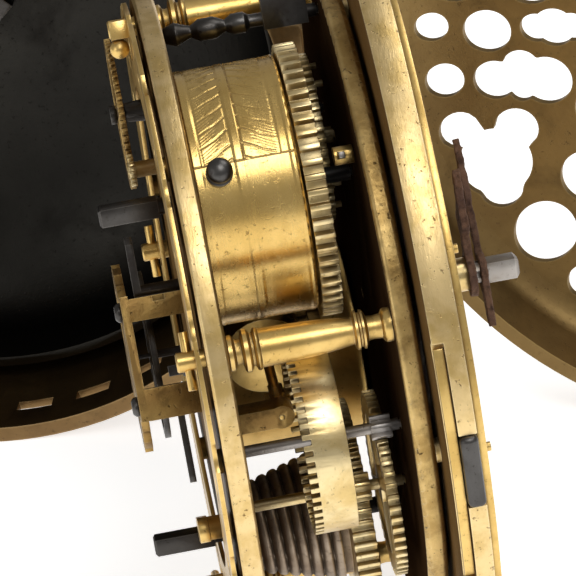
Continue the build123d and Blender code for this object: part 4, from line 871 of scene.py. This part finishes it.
def ring_of(mesh, count, radius, finish):
    """Mesh of copies of one mesh on a ring, each turned outward, in millimetres."""
    single = bpy.data.objects.new("single", mesh)
    host = bpy.data.objects.new("host", bpy.data.meshes.new("host"))
    for item in (single, host):
        bpy.context.scene.collection.objects.link(item)
    modifier = host.modifiers.new("ring", "NODES")
    modifier.node_group = ring_tree
    for label, value in (("Piece", single), ("Count", count), ("Radius", radius), ("Finish", finish)):
        modifier[sockets[label]] = value
    host.update_tag()
    result = bpy.data.meshes.new_from_object(host.evaluated_get(bpy.context.evaluated_depsgraph_get()))
    for item in (single, host):
        bpy.data.objects.remove(item)
    return result


# %% Minute and hour marks of the dial
dial_front, mark_height, mark_sink = 19.0, 0.12, 0.05
wax = metal("black wax", (0.02, 0.018, 0.016), (0.035, 0.03, 0.025), (0.01, 0.008, 0.006), rough=0.45,
            metallic=0.0,
            edge=0.1, marks=0.02)


def bar(length, width):
    """Low bar that lies along x, with its foot sunk in the dial."""
    work = bmesh.new()
    bmesh.ops.create_cube(work, size=1.0)
    bmesh.ops.scale(work, verts=work.verts, vec=(length, width, mark_height + mark_sink))
    bmesh.ops.translate(work, verts=work.verts, vec=(0, 0, (mark_height - mark_sink) / 2))
    return to_mesh(work)


mark_rings = ((2.2, 0.25, 60, 48.5), (7.5, 0.7, 12, 41.5),
              (3.0, 0.3, 48, 34.0))   # length, width, count, radius
marks = bmesh.new()
for length, width, count, radius in mark_rings:
    marks.from_mesh(ring_of(bar(length, width), count, radius, wax))
marks.transform(train @ Matrix.Translation((0, 0, dial_front)))
finish_piece("dial_marks", to_mesh(marks), wax, "movement", [], 30)

# %% [markdown]
# The floor is a wide pale sheet under the rims that the open clock stands on.

# %% Floor
floor_size = 8.0
floor_mesh = bpy.data.meshes.new("floor")
corners = [(-floor_size, -floor_size, 0), (floor_size, -floor_size, 0), (floor_size, floor_size, 0),
           (-floor_size, floor_size, 0)]
floor_mesh.from_pydata(corners, [], [(0, 1, 2, 3)])
paper = bpy.data.materials.new("paper")
paper.use_nodes = True
sheet = paper.node_tree.nodes["Principled BSDF"]
fibre = noise_node(paper.node_tree, paper.node_tree.nodes.new("ShaderNodeTexCoord").outputs["Object"], 40.0)
shade = colour_mix(paper.node_tree, fibre, (0.93, 0.93, 0.93), (0.95, 0.95, 0.95))
paper.node_tree.links.new(shade, sheet.inputs["Base Color"])
sheet.inputs["Roughness"].default_value = 0.9
sheet.inputs["Emission Color"].default_value = (1, 1, 1, 1)
sheet.inputs["Emission Strength"].default_value = 0.7
floor_mesh.materials.append(paper)
ground = bpy.data.objects.new("floor", floor_mesh)
bpy.context.scene.collection.objects.link(ground)

# %% [markdown]
# Last, the number of finished pieces is printed.

# %% Pieces made
print("pieces made:", len(finished))
